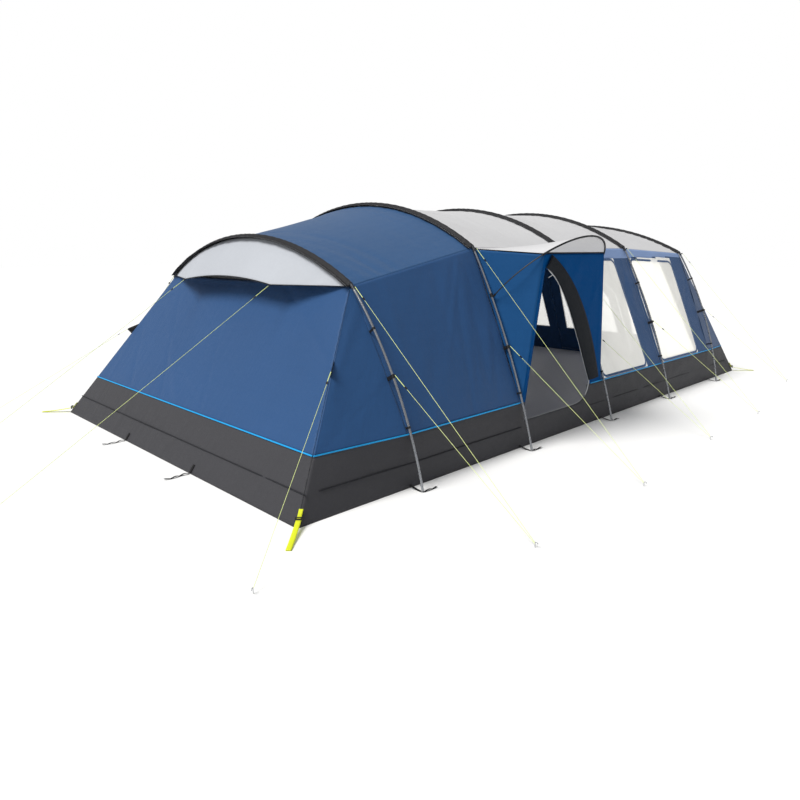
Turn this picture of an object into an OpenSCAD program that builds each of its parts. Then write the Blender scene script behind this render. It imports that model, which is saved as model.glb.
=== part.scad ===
/* [Footprint] */
// Run of the sloping rear end, from its foot to the rear hoop
rear_run = 980; // [800:10:1200]
// Sleeping bay, between the first and second hoops
bay_1 = 1330; // [1000:10:1700]
// Porch bay, between the second and third hoops
bay_2 = 1380; // [1150:10:1700]
// First window bay, between the third and fourth hoops
bay_3 = 1350; // [1000:10:1700]
// Second window bay, between the fourth and fifth hoops
bay_4 = 1410; // [1000:10:1700]
// Run of the sloping front end, from the fifth hoop to its foot
front_run = 950; // [800:10:1200]
// Width between the feet of the side walls
base_w = 4000; // [3600:20:4800]
// Height of the dark skirt at the side walls
skirt_h = 387; // [300:1:470]
// Height of the skirt at the four corners
corner_skirt_h = 360; // [280:1:440]
// How far the skirt leans in at its top
skirt_lean = 20; // [5:1:60]

/* [Hoops] */
// Height of the pole at the top of hoops 2, 3 and 4
apex_h = 2085; // [1950:5:2500]
// Height of the pole at the top of the rear hoop
rear_apex_h = 1765; // [1600:5:1900]
// Height of the pole at the top of the front hoop
front_apex_h = 1970; // [1800:5:2200]
// Half width between the pole elbows of hoops 2, 3 and 4
elbow_w = 1430; // [1300:5:1650]
// Height of the pole elbows of hoops 2, 3 and 4
elbow_h = 1670; // [1500:5:1900]
// Half width between the pole elbows of the rear hoop
rear_elbow_w = 1390; // [1250:5:1600]
// Height of the pole elbows of the rear hoop
rear_elbow_h = 1400; // [1200:5:1550]
// Half width between the pole elbows of the front hoop
front_elbow_w = 1490; // [1350:5:1700]
// Height of the pole elbows of the front hoop
front_elbow_h = 1610; // [1400:5:1750]
// How far a pole foot stands outside the wall's foot
foot_out = 120; // [60:5:200]
// Outward bow of the legs
leg_bow = 60; // [30:1:90]
// Outward bow of the front hoop's legs
front_leg_bow = 85; // [30:1:110]
// How far the bent legs of the rear hoop bow outwards
rear_leg_bow = 96; // [84:1:110]
// Diameter of the bent roof poles
bow_d = 12.5; // [9:0.5:16]
// Diameter of the steel legs
leg_d = 19; // [14:0.5:22]
// Outer radius of the pole sleeves
sleeve_r = 15; // [14:0.5:22]

/* [Fabric] */
// Thickness of every fabric panel
fabric_t = 2; // [1:0.5:3]
// Gap at each sewn seam between two panels
seam_gap = 0.3; // [0.2:0.1:0.6]
// Dip of a roof panel halfway between its hoops
roof_dip = 18; // [0:1:40]
// Hollow of a wall panel halfway between its hoops
wall_hollow = 8; // [0:1:20]
// Outward swell of a wall panel at its hoops
wall_swell = 12; // [0:1:20]
// Bottom edge of the windows
window_sill_h = 397; // [390:1:520]
// Top edge of the windows
window_head_h = 1550; // [1300:5:1580]
// Fabric strip in front of each window hoop
strip_before = 310; // [150:5:400]
// Fabric strip behind each window hoop
strip_after = 50; // [30:5:120]

/* [Porch] */
// Height of the ends of the arched porch pole
porch_foot_h = 1270; // [1100:5:1350]
// How far out the ends of the porch pole stand from the middle line
porch_foot_w = 1675; // [1660:1:1720]
// Diameter of the porch pole
porch_pole_d = 10; // [8:0.5:12]
// Half width of the porch wall's top edge
porch_top_half = 488; // [420:2:540]
// Fabric between a hoop and the foot of the porch wall
porch_foot_inset = 25; // [20:1:60]
// Height of the door sill
sill_h = 230; // [150:5:260]
// Gap all round the closed doors
door_gap = 8; // [5:0.5:12]
// Angle that the side door stands open
side_door_open = 90; // [0:5:90]

/* [Sleeping tent] */
// Air gap between the flysheet and the sleeping tent
inner_gap = 90; // [60:5:150]
// Height of the sleeping tent's doors
inner_door_h = 1300; // [1100:10:1400]
// Width of the sleeping tent's doors
inner_door_w = 760; // [600:10:780]

/* [Ground fixings] */
// Diameter of the guy lines
guy_d = 3; // [2:0.5:4]
// Height of the pegs above the ground
peg_h = 34; // [25:1:50]
// Length of the corner straps
strap_l = 300; // [200:10:350]
// Width of the corner straps
strap_w = 25; // [20:1:40]

/* [Hidden] */

$fn = 48;
arc_fn = 240;
leg_fn = 720;
base_l = rear_run + bay_1 + bay_2 + bay_3 + bay_4 + front_run;
rear_x = -base_l / 2;
front_x = base_l / 2;
half_w = base_w / 2;
hoop_x = [rear_x + rear_run, rear_x + rear_run + bay_1, rear_x + rear_run + bay_1 + bay_2,
    front_x - front_run - bay_4, front_x - front_run];
elbow = [[rear_elbow_w, rear_elbow_h], [elbow_w, elbow_h], [elbow_w, elbow_h], [elbow_w, elbow_h],
    [front_elbow_w, front_elbow_h]];
apex = [rear_apex_h, apex_h, apex_h, apex_h, front_apex_h];
bow_out = [rear_leg_bow, leg_bow, leg_bow, leg_bow, front_leg_bow];
clip_h = [[1100, 780, 440], [1280, 850, 477], [1280, 850, 477], [1280, 850, 477], [1285, 890, 479]];
ferrule_l = 45;
ferrule_stop = 12;
ferrule_r = leg_d / 2 + 2.5;
pin_d = 6;
pin_l = 70;
collar_h = 3;
foot_h = 14;
fit_gap = 0.3;
cheek_x = 14;
tab_out = 43.4;
tab_drop = 22;
porch_mid = (hoop_x[1] + hoop_x[2]) / 2;
porch_r = bay_2 / 2;
porch_foot = [half_w - skirt_lean + 2, skirt_h + seam_gap];
porch_rise = sqrt(porch_r * porch_r - porch_top_half * porch_top_half);
porch_top = [porch_foot_w + porch_rise * sin(45), porch_foot_h + porch_rise * cos(45)];
porch_lean = atan((porch_top[0] - porch_foot[0]) / (porch_top[1] - porch_foot[1]));
door_foot_x = 55;
door_head_x = 226;
door_head_h = 1500;
door_toe_h = 410;
tan_rear = rear_run / shoulder(0)[1];
tan_front = front_run / shoulder(4)[1];
edge_inset = fabric_t * 1.3 + 1.6;
hood_reach = 243;
hood_corner_w = 700;
hood_drop = 10;
hinge_gap = 0.6;
hinge_inset = hinge_gap + fabric_t / 2;

// The guys of the near side: [hook on the tent, peg], and the far side mirrors them
GUYS = [
    [[-2720, -1435, 1385], [-2880, -3150, 27]], [[-2720, -1847.8, 792.4], [-2880, -3150, 20]],
    [[-1390, -1475, 1655], [-1510, -3150, 27]], [[-1390, -1860.8, 860], [-1510, -3150, 20]],
    [[-10, -1475, 1655], [20, -3050, 27]], [[-10, -1860.8, 860], [20, -3050, 20]],
    [[1340, -1475, 1655], [1300, -3050, 27]], [[1340, -1860.8, 860], [1300, -3050, 20]],
    [[2750, -1535, 1595], [3330, -2770, 27]], [[2750, -1889.4, 899.9], [3330, -2770, 20]],
    [[-3150, -1674, 850], [-4290, -2460, 24]], [[-2975, -700, 1372], [-5090, -630, 24]]];
// Where each guy's runner sits, from the hook
RUNNER_AT = [130, 140, 140, 140, 140, 140, 140, 140, 140, 140, 110, 150];
// One peg for each pair of guys, and one for each single guy: [x, y, way its hook points]
PEGS = [[-2880, -3150, -90], [-1510, -3150, -90], [20, -3050, -90], [1300, -3050, -90],
    [3330, -2770, -65], [-4290, -2460, -145], [-5090, -630, 178]];
peg_rod = 5;

// Roof arc of a hoop: radius and centre height of the pole, and half angle
function bow_r(i) = let (rise = apex[i] - elbow[i][1], w = elbow[i][0]) (w * w + rise * rise) / (2 * rise);
function bow_c(i) = apex[i] - bow_r(i);
function bow_a(i) = asin(elbow[i][0] / bow_r(i));
function fly_r(i) = bow_r(i) - sleeve_r - seam_gap;
function shoulder(i) = [fly_r(i) * sin(bow_a(i)), bow_c(i) + fly_r(i) * cos(bow_a(i))];

// Leg arc of a hoop, as [half width, height] of its centre, and its radius
function unit(v) = v / norm(v);
function leg_foot(i) = [half_w + foot_out, foot_h];
function leg_r(i) = let (c = norm(elbow[i] - leg_foot(i))) c * c / (8 * bow_out[i]) + bow_out[i] / 2;
function leg_c(i) = let (d = unit(elbow[i] - leg_foot(i)))
    (elbow[i] + leg_foot(i)) / 2 - [d[1], -d[0]] * (leg_r(i) - bow_out[i]);
function leg_angle(i, p) = atan2(p[1] - leg_c(i)[1], p[0] - leg_c(i)[0]);
function leg_w(i, z) = leg_c(i)[0] + sqrt(pow(leg_r(i), 2) - pow(z - leg_c(i)[1], 2));

// Profile of a side wall at a hoop, v from 0 at the skirt to 1 at the shoulder
function wall_foot() = [half_w - skirt_lean, skirt_h];
function wall_n(i) = let (d = unit(shoulder(i) - wall_foot())) [d[1], -d[0]];
function wall_p(i, v) = wall_foot() + (shoulder(i) - wall_foot()) * v + wall_n(i) * wall_swell * 4 * v * (1 - v);
function wall_in(i, v) = unit(wall_n(i) * (1 - pow(v, 3)) + [sin(bow_a(i)), cos(bow_a(i))] * pow(v, 3));
function mix(a, b, t) = a * (1 - t) + b * t;
function side_point(i, u, v, depth) = let (
    p = mix(wall_p(i, v), wall_p(i + 1, v), u), n = mix(wall_in(i, v), wall_in(i + 1, v), u),
    q = p - n * (depth + wall_hollow * 16 * u * (1 - u) * v * (1 - v)))
    [mix(hoop_x[i], hoop_x[i + 1], u), -q[0], q[1]];
function side_grid(i, u0, u1, depth, v1 = 0.9998, nu = 6, nv = 8) =
    [for (a = [0:nu]) [for (b = [0:nv]) side_point(i, mix(u0, u1, a / nu), v1 * b / nv, depth)]];

function roof_point(i, u, s, depth) = let (
    r = mix(fly_r(i), fly_r(i + 1), u) - depth, c = mix(bow_c(i), bow_c(i + 1), u),
    a = mix(bow_a(i), bow_a(i + 1), u), t = a * s, fly = r + depth,
    // Keeps the edge on the straight line between the two shoulders
    slip = mix(shoulder(i), shoulder(i + 1), u) - [fly * sin(a), c + fly * cos(a)])
    [mix(hoop_x[i], hoop_x[i + 1], u), r * sin(t) + slip[0] * s * abs(s),
        c + r * cos(t) + slip[1] * s * s - roof_dip * 4 * u * (1 - u) * (1 - s * s)];

// Corner seam of an end, t from 0 at the ground to 1 at the shoulder
function seam(i, t) = [mix(i == 0 ? rear_x : front_x, hoop_x[i], t), -mix(half_w, shoulder(i)[0], t),
    shoulder(i)[1] * t];
function seam_skirt(i) = corner_skirt_h / shoulder(i)[1];

function bezier(p, t) = p[0] * pow(1 - t, 3) + p[1] * 3 * pow(1 - t, 2) * t + p[2] * 3 * (1 - t) * t * t
    + p[3] * pow(t, 3);
function curve(p, n) = [for (k = [0:n]) bezier(p, k / n)];
// Outline of a door that hangs from the line a to b, with its cloth on the given side of the line
function hang(points, a, b, side) = let (
    d = unit(b - a), mid = (a + b) / 2, reach = max([for (p = points) norm(p - mid)]))
    [for (p = points) mid + (p - mid) * (1 - door_gap / reach) + [d[1], -d[0]] * side * hinge_gap];
function shrink(points, gap) = let (c = [for (k = [0, 1]) (max([for (p = points) p[k]]) + min([for (p = points) p[k]])) / 2],
    h = [for (k = [0, 1]) (max([for (p = points) p[k]]) - min([for (p = points) p[k]])) / 2])
    [for (p = points) [for (k = [0, 1]) c[k] + (p[k] - c[k]) * (1 - gap / h[k])]];

// A closed slab between two grids of points
module slab(outer, inner) {
    nv = len(outer[0]);
    nu = len(outer);
    n = nu * nv;
    skin = [for (i = [0:nu - 2]) for (j = [0:nv - 2]) let (k = i * nv + j)
        for (f = [[k, k + 1, k + nv + 1], [k, k + nv + 1, k + nv]]) f];
    ring = concat([for (j = [0:nv - 1]) j], [for (i = [1:nu - 1]) i * nv + nv - 1],
        [for (j = [nv - 2:-1:0]) (nu - 1) * nv + j], [for (i = [nu - 2:-1:1]) i * nv]);
    rim = [for (k = [0:len(ring) - 1]) let (a = ring[k], b = ring[(k + 1) % len(ring)])
        for (f = [[b, a, a + n], [b, a + n, b + n]]) f];
    polyhedron([for (g = [outer, inner]) for (row = g) for (p = row) p],
        concat(skin, [for (f = skin) [f[0] + n, f[2] + n, f[1] + n]], rim));
}

// A tube of 8 sides along a list of points
module tube(points, d) {
    sides = 8;
    last = len(points) - 1;
    rings = [for (k = [0:last]) let (
        t = unit(points[min(k + 1, last)] - points[max(k - 1, 0)]),
        u = unit(cross(t, abs(t[2]) < 0.9 ? [0, 0, 1] : [1, 0, 0])), v = cross(t, u))
        [for (s = [0:sides - 1]) points[k] + (u * cos(s * 45) + v * sin(s * 45)) * d / 2]];
    polyhedron([for (r = rings) for (p = r) p], concat(
        [[for (s = [0:sides - 1]) s]],
        [for (k = [0:last - 1]) for (s = [0:sides - 1]) let (a = k * sides + s, b = k * sides + (s + 1) % sides)
            for (f = [[a, a + sides, b], [b, a + sides, b + sides]]) f],
        [[for (s = [sides - 1:-1:0]) last * sides + s]]));
}

module both_sides() {
    children();
    mirror([0, 1, 0]) children();
}

// Puts a flat outline, drawn as [across, up], on an end wall and gives it the fabric's thickness
module rear_plane(depth = 0, t = fabric_t) {
    translate([rear_x, 0, 0]) rotate([0, atan(tan_rear), 0]) translate([depth, 0, 0])
        rotate([90, 0, 90]) linear_extrude(t) children();
}

module front_plane(depth = 0, t = fabric_t) {
    translate([front_x, 0, 0]) rotate([0, -atan(tan_front), 0]) translate([-depth - t, 0, 0])
        rotate([90, 0, 90]) linear_extrude(t) children();
}

// Band of an end wall between two slant heights
module end_band(i, lo, hi) {
    full = norm([i == 0 ? rear_run : front_run, shoulder(i)[1]]);
    w_lo = mix(half_w, shoulder(i)[0], lo / full) - edge_inset;
    w_hi = mix(half_w, shoulder(i)[0], hi / full) - edge_inset;
    polygon([[-w_lo, lo], [w_lo, lo], [w_hi, hi], [-w_hi, hi]]);
}

function end_slant(i) = norm([i == 0 ? rear_run : front_run, shoulder(i)[1]]);
function skirt_slant(i) = end_slant(i) * seam_skirt(i);

module bow(i) {
    stop = ferrule_stop / bow_r(i) * 180 / PI;
    color("dimgray") translate([hoop_x[i], 0, bow_c(i)]) rotate([90, 0, 90])
        rotate([0, 0, 90 - bow_a(i) + stop]) rotate_extrude(angle = 2 * (bow_a(i) - stop), $fn = arc_fn)
            translate([bow_r(i), 0]) circle(d = bow_d, $fn = 24);
}

module legs(i) {
    lo = leg_angle(i, leg_foot(i));
    hi = leg_angle(i, elbow[i]) - ferrule_stop / leg_r(i) * 180 / PI;
    color("slategray") both_sides() difference() {
        translate([hoop_x[i], leg_c(i)[0], leg_c(i)[1]]) rotate([90, 0, 90]) rotate([0, 0, lo])
            rotate_extrude(angle = hi - lo, $fn = leg_fn) translate([leg_r(i), 0]) circle(d = leg_d);
        at_leg(i, leg_foot(i)) translate([0, 0, -1]) cylinder(d = pin_d + 2 * fit_gap, h = pin_l + 5);
    }
}

// Puts a child on a leg's centre line, with its z along the leg and its y pointing away from the tent
module at_leg(i, p) {
    translate([hoop_x[i], p[0], p[1]]) rotate([leg_angle(i, p), 0, 0]) children();
}

module sleeve(i) {
    stop = 4 / bow_r(i) * 180 / PI;
    color([0.24, 0.24, 0.25]) translate([hoop_x[i], 0, bow_c(i)]) rotate([90, 0, 90])
        rotate([0, 0, 90 - bow_a(i) + stop]) rotate_extrude(angle = 2 * (bow_a(i) - stop), $fn = arc_fn)
            translate([bow_r(i), 0]) difference() {
                circle(r = sleeve_r, $fn = 24);
                circle(r = sleeve_r - fabric_t, $fn = 24);
            }
}

module elbow_ferrules() {
    color("silver") both_sides() for (i = [0:4]) translate([hoop_x[i], elbow[i][0], elbow[i][1]])
        difference() {
            union() {
                sphere(r = ferrule_r + 0.6);
                rotate([90 - bow_a(i), 0, 0]) cylinder(r = ferrule_r, h = ferrule_l);
                rotate([leg_angle(i, elbow[i]), 0, 0]) translate([0, 0, -ferrule_l])
                    cylinder(r = ferrule_r, h = ferrule_l);
            }
            rotate([90 - bow_a(i), 0, 0]) translate([0, 0, ferrule_stop - fit_gap])
                cylinder(d = bow_d + 2 * fit_gap, h = ferrule_l);
            rotate([leg_angle(i, elbow[i]), 0, 0]) translate([0, 0, -ferrule_l - 1])
                cylinder(d = leg_d + 2 * fit_gap, h = ferrule_l + 1 - ferrule_stop + fit_gap);
        }
}

module roof(i) {
    inset = seam_gap / 2 / (hoop_x[i + 1] - hoop_x[i]);
    grids = [for (depth = [0, fabric_t]) [for (a = [0:6]) [for (b = [0:24])
        roof_point(i, mix(inset, 1 - inset, a / 6), b / 12 - 1, depth)]]];
    color(i == 0 ? [0.33, 0.45, 0.6] : [0.86, 0.86, 0.87]) slab(grids[0], grids[1]);
}

// A side wall panel of bay i on the near side, from x0 to x1
module side_panel(i, x0, x1, depth = 0, t = fabric_t) {
    u0 = (x0 - hoop_x[i]) / (hoop_x[i + 1] - hoop_x[i]);
    u1 = (x1 - hoop_x[i]) / (hoop_x[i + 1] - hoop_x[i]);
    slab(side_grid(i, u0, u1, depth), side_grid(i, u0, u1, depth + t));
}

module window_hole(i, gap = 0) {
    x0 = hoop_x[i] + strip_after + gap;
    x1 = hoop_x[i + 1] - strip_before - gap;
    translate([x0, -half_w - 50, window_sill_h + gap])
        cube([x1 - x0, half_w, window_head_h - window_sill_h - 2 * gap]);
}

module plain_wall(i, end_x) {
    color([0.14, 0.25, 0.42]) side_panel(i, hoop_x[i] + seam_gap / 2, end_x);
}

module window_wall(i, start_x) {
    color([0.17, 0.31, 0.5]) difference() {
        side_panel(i, start_x, hoop_x[i + 1] - seam_gap / 2);
        window_hole(i);
    }
}

module window_pane(i) {
    color([0.9, 0.9, 0.88, 0.6]) intersection() {
        side_panel(i, hoop_x[i] + 1, hoop_x[i + 1] - 1, 0.5, 1);
        window_hole(i, seam_gap);
    }
}

module near_wall_1() {
    plain_wall(0, hoop_x[1] + cheek_x - seam_gap);
}

module near_window_walls() {
    window_wall(2, hoop_x[2] - cheek_x + seam_gap);
    window_wall(3, hoop_x[3] + seam_gap / 2);
}

module far_plain_walls() {
    mirror([0, 1, 0]) for (i = [0, 1]) plain_wall(i, hoop_x[i + 1] - seam_gap / 2);
}

module far_window_walls() {
    mirror([0, 1, 0]) for (i = [2, 3]) window_wall(i, hoop_x[i] + seam_gap / 2);
}

module near_windows() {
    for (i = [2, 3]) window_pane(i);
}

module far_windows() {
    mirror([0, 1, 0]) near_windows();
}

// The wedge of side wall between an end's corner seam and its hoop
module gusset(i) {
    top = 0.985;
    lead = i == 0 ? 0 : 1;
    grids = [for (depth = [0, fabric_t]) [for (a = [0:4]) [for (b = [0:8]) let (
        v = top * b / 8, w = wall_p(i, v), n = wall_in(i, v), u = a / 4 * (1 - 0.0003),
        s = seam(i, mix(seam_skirt(i) + 0.0003, 1, v)),
        p = mix(s, [hoop_x[i] + (i == 0 ? -1 : 1) * seam_gap / 2, -w[0], w[1]], u))
        [p[0], p[1] + n[0] * depth, p[2] - n[1] * depth]]]];
    color([0.16, 0.27, 0.42]) if (lead == 0) slab(grids[0], grids[1]); else slab(grids[1], grids[0]);
}

module rear_gussets() {
    both_sides() gusset(0);
}

module front_gussets() {
    both_sides() gusset(4);
}

module rear_wall() {
    color([0.32, 0.44, 0.61]) rear_plane() end_band(0, skirt_slant(0) + seam_gap, end_slant(0) - 1);
}

// White hood over the top of an end: it hangs from the hoop and is drawn out by two guys
module hood(i) {
    away = i == 0 ? -1 : 1;
    rise = 47;
    s_max = 0.985;
    split = 0.5;
    top = shoulder(i);
    // Lower edge: straight from the elbow to the guy's corner, then an arch to the other corner
    function edge(s) = abs(s) > split
        ? let (k = (1 - abs(s)) / (1 - split)) [hoop_x[i] + away * hood_reach * k,
            sign(s) * mix(top[0], hood_corner_w, k), top[1] - hood_drop * k]
        : let (k = s / split) [hoop_x[i] + away * (hood_reach - 12 * (1 - k * k)), hood_corner_w * k,
            top[1] - hood_drop + rise * (1 - k * k)];
    function hem(s) = [hoop_x[i] + away * (seam_gap + fabric_t * 0.7), fly_r(i) * sin(bow_a(i) * s), bow_c(i) + fly_r(i) * cos(bow_a(i) * s)];
    grids = [for (depth = [0, fabric_t]) [for (a = [0:4]) [for (b = [0:24]) let (
        s = s_max * (b / 12 - 1), k = a / 4, p = mix(hem(s), edge(s), k), puff = 30 * k * (1 - k) * (1 - s * s))
        [p[0] + away * (puff - depth * 0.6), p[1], p[2] + puff - depth * 0.8]]]];
    color([0.84, 0.85, 0.87]) if (i == 0) slab(grids[1], grids[0]); else slab(grids[0], grids[1]);
}

module rear_hood() {
    hood(0);
}

module front_hood() {
    hood(4);
}

// Mesh behind each hood, between the end wall's top edge and the hoop
module vent_mesh() {
    color([0.08, 0.09, 0.11]) for (i = [0, 4]) translate([hoop_x[i] + (i == 0 ? 2 : -3), 0, 0])
        rotate([90, 0, 90]) linear_extrude(1) intersection() {
            translate([0, bow_c(i)]) circle(r = fly_r(i) - fabric_t - 0.6, $fn = 180);
            translate([-half_w, shoulder(i)[1]]) square([base_w, 1000]);
        }
}

// Front door, drawn on the front wall as [across, slant height]; its hinge is the straight far edge
door_hinge = [[700, 40], [590, 1420]];
door_outline = concat(
    [door_hinge[0]], [door_hinge[1]],
    curve([[500, 1470], [200, 1540], [-330, 1500], [-480, 1180]], 10),
    curve([[-500, 900], [-520, 600], [-540, 400], [-540, 160]], 4),
    curve([[-535, 120], [-525, 60], [-490, 40], [-440, 40]], 5));

door_pane = [[500, 470], [430, 1290], [-250, 1290], [-360, 1100], [-390, 470]];

module front_wall() {
    color([0.2, 0.32, 0.52]) front_plane() difference() {
        end_band(4, skirt_slant(4) + seam_gap, end_slant(4) - 1);
        polygon(door_outline);
        polygon(near_pane);
        polygon(far_pane);
    }
}

module front_windows() {
    color([0.9, 0.9, 0.88, 0.6]) front_plane(0.5, 1) for (side = [-1, 1])
        polygon(shrink(side < 0 ? near_pane : far_pane, seam_gap));
}

near_pane = [[-620, 470], [-(half_w - 410), 470], [-(shoulder(4)[0] - 300), end_slant(4) - 190],
    [-620, end_slant(4) - 190]];
far_pane = [[820, 470], [half_w - 410, 470], [shoulder(4)[0] - 300, end_slant(4) - 190],
    [760, end_slant(4) - 190]];

module front_door() {
    color([0.2, 0.32, 0.52]) front_plane() difference() {
        polygon(hang(door_outline, door_hinge[0], door_hinge[1], -1));
        polygon(door_pane);
    }
}

module front_door_window() {
    color([0.9, 0.9, 0.88, 0.6]) front_plane(0.5, 1) polygon(shrink(door_pane, 2 * seam_gap));
}

// The near skirt, one sheet from corner seam to corner seam, and the far one is its mirror
module skirt() {
    drop = fabric_t * 0.55 + seam_gap;
    function foot(k, v) = k == 0 ? seam(0, (seam_skirt(0) - drop / shoulder(0)[1]) * v)
        : k == 6 ? seam(4, (seam_skirt(4) - drop / shoulder(4)[1]) * v)
        : let (p = mix([half_w, 0], wall_foot() - [0, drop], v)) [hoop_x[k - 1], -p[0], p[1]];
    grids = [for (depth = [0, fabric_t]) [for (k = [0:6]) [for (b = [0:2]) foot(k, b / 2) + [0, depth, 0]]]];
    slab(grids[0], grids[1]);
}

// Side door, drawn on the porch wall as [along, up] from the second hoop
side_hinge_foot = [door_foot_x, sill_h];
side_hinge_head = [door_head_x, door_head_h];
side_outline = concat(
    [side_hinge_foot],
    curve([[840, sill_h], [1000, sill_h], [1085, 260], [1111, door_toe_h]], 6),
    curve([[1108, 430], [800, 900], [520, 1420], side_hinge_head], 14));

module porch_plane(depth, t) {
    translate([hoop_x[1], -porch_foot[0], porch_foot[1]]) rotate([porch_lean, 0, 0])
        translate([0, depth + t, -porch_foot[1]]) rotate([90, 0, 0]) linear_extrude(t) children();
}

module skirt_near() {
    color([0.23, 0.23, 0.25]) difference() {
        skirt();
        translate([hoop_x[1], -half_w + 100, 0]) rotate([90, 0, 0]) linear_extrude(200) polygon(side_outline);
    }
}

module skirt_far() {
    color([0.28, 0.29, 0.32]) mirror([0, 1, 0]) skirt();
}

module skirt_rear() {
    color([0.34, 0.34, 0.36]) rear_plane() end_band(0, 1.5, skirt_slant(0));
}

module skirt_front() {
    color([0.28, 0.29, 0.32]) front_plane() difference() {
        end_band(4, 1.5, skirt_slant(4));
        polygon(door_outline);
    }
}

// Bright cord sewn along the top edge of the skirt
module piping() {
    d = 7;
    lift = d / 2 + 0.4;
    foot = wall_foot();
    line = [seam(0, seam_skirt(0)), [hoop_x[0], -foot[0], foot[1]], [hoop_x[1] + 12, -foot[0], foot[1]],
        [hoop_x[2] - 250, -foot[0] - 2, foot[1]], [hoop_x[2] - 12, -foot[0] - 2, foot[1]],
        [hoop_x[2] + 12, -foot[0], foot[1]], [hoop_x[4], -foot[0], foot[1]], seam(4, seam_skirt(4))];
    near = [for (p = line) p - [0, lift, 0]];
    far = [for (p = line) [p[0], -p[1] + lift, p[2]]];
    rear_w = mix(half_w, shoulder(0)[0], seam_skirt(0));
    front_w = mix(half_w, shoulder(4)[0], seam_skirt(4));
    rear = [rear_x + tan_rear * corner_skirt_h - lift / cos(atan(tan_rear)), rear_w, corner_skirt_h];
    front = [front_x - tan_front * corner_skirt_h + lift / cos(atan(tan_front)), front_w, corner_skirt_h];
    color([0.25, 0.66, 0.88]) {
        tube([near[0], near[1], near[2]], d);
        tube([near[3], near[4], near[5], near[6], near[7]], d);
        tube([far[0], far[1], far[6], far[7]], d);
        tube([[rear[0], -rear[1] + 3, rear[2]], [rear[0], rear[1] - 3, rear[2]]], d);
        tube([[front[0], -front[1] + 3, front[2]], [front[0], -565, front[2]]], d);
        tube([[front[0], 700, front[2]], [front[0], front[1] - 3, front[2]]], d);
    }
}

module groundsheet() {
    inset = fabric_t + 2.4;
    color([0.42, 0.42, 0.45]) translate([rear_x + inset, -half_w + inset, 0])
        cube([base_l - 2 * inset, base_w - 2 * inset, 1.5]);
}

module porch_arch_plane() {
    translate([porch_mid, -porch_foot_w, porch_foot_h]) rotate([135, 0, 0]) children();
}

module porch_pole() {
    color("gray") porch_arch_plane() rotate_extrude(angle = 180) translate([porch_r, 0]) circle(d = porch_pole_d);
}

module porch_gable() {
    color([0.8, 0.8, 0.82]) porch_arch_plane() linear_extrude(fabric_t, center = true) intersection() {
        circle(r = porch_r - porch_pole_d / 2 - 0.4, $fn = 180);
        translate([-porch_r, porch_rise + 1]) square([2 * porch_r, porch_r]);
    }
}

module porch_roof() {
    lo = acos(porch_top_half / porch_r);
    start = shoulder(1);
    grids = [for (depth = [0, fabric_t]) [for (a = [0:6]) [for (b = [0:16]) let (
        t = 180 - lo - (180 - 2 * lo) * b / 16,
        arch = [porch_mid + porch_r * cos(t), -porch_foot_w - porch_r * sin(t) * sin(45) + 7,
            porch_foot_h + porch_r * sin(t) * cos(45) + 2],
        root = [mix(hoop_x[1] + 20, hoop_x[2] - 20, b / 16), -start[0] - 0.8, start[1]],
        p = mix(root, arch, a / 6)) p - [0, 0, depth]]]];
    color([0.86, 0.86, 0.87]) slab(grids[0], grids[1]);
}

module porch_front() {
    head = porch_top[1];
    color([0.02, 0.24, 0.44]) porch_plane(0, fabric_t) difference() {
        polygon([[porch_foot_inset, porch_foot[1]], [bay_2 - porch_foot_inset, porch_foot[1]],
            [bay_2 / 2 + porch_top_half, head - 5.5], [bay_2 / 2 - porch_top_half, head - 5.5]]);
        polygon(side_outline);
    }
}

// Triangles between the second and third hoops and the porch wall
module cheek() {
    top = 0.992;
    foot_x = hoop_x[1] + porch_foot_inset - seam_gap - fabric_t * 0.95;
    head_x = porch_mid - porch_top_half - seam_gap - fabric_t * 0.95;
    grids = [for (depth = [0, fabric_t]) [for (a = [0:4]) [for (b = [0:8]) let (
        v = top * b / 8, w = wall_p(1, v),
        root = [hoop_x[1] + cheek_x, -w[0], w[1]],
        rim = [mix(foot_x, head_x, v), -mix(porch_foot[0], porch_top[0], v), mix(porch_foot[1], porch_top[1], v)])
        mix(root, rim, a / 4) + [depth * 0.93, depth * 0.37, 0]]]];
    color([0.13, 0.27, 0.45]) slab(grids[0], grids[1]);
}

module porch_cheeks() {
    cheek();
    translate([2 * porch_mid, 0, 0]) mirror([1, 0, 0]) cheek();
}

// Hinge line of the side door, in the porch wall
function porch_point(p) = [hoop_x[1] + p[0], -porch_foot[0] - (p[1] - porch_foot[1]) * sin(porch_lean)
    + fabric_t / 2, porch_foot[1] + (p[1] - porch_foot[1]) * cos(porch_lean)];
side_hinge = [for (p = [side_hinge_foot, side_hinge_head]) porch_point(p + hinge_inset
    * [unit(side_hinge_head - side_hinge_foot)[1], -unit(side_hinge_head - side_hinge_foot)[0]])];

module side_door() {
    axis = unit(side_hinge[1] - side_hinge[0]);
    color([0.07, 0.2, 0.38]) translate(side_hinge[0]) rotate(a = side_door_open, v = axis)
        translate(-side_hinge[0]) porch_plane(0, fabric_t) polygon(hang(side_outline, side_hinge_foot, side_hinge_head, 1));
}

// Distance from a leg's centre line to the wall, square to the leg
function wall_reach(i, z) = let (w = leg_w(i, z), a = leg_angle(i, [w, z]), n = wall_n(i),
    v = (z - skirt_h) / (shoulder(i)[1] - skirt_h))
    ((([w, z] - wall_foot()) * n) - wall_swell * 4 * v * (1 - v)) / (n * [cos(a), sin(a)]);

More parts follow.
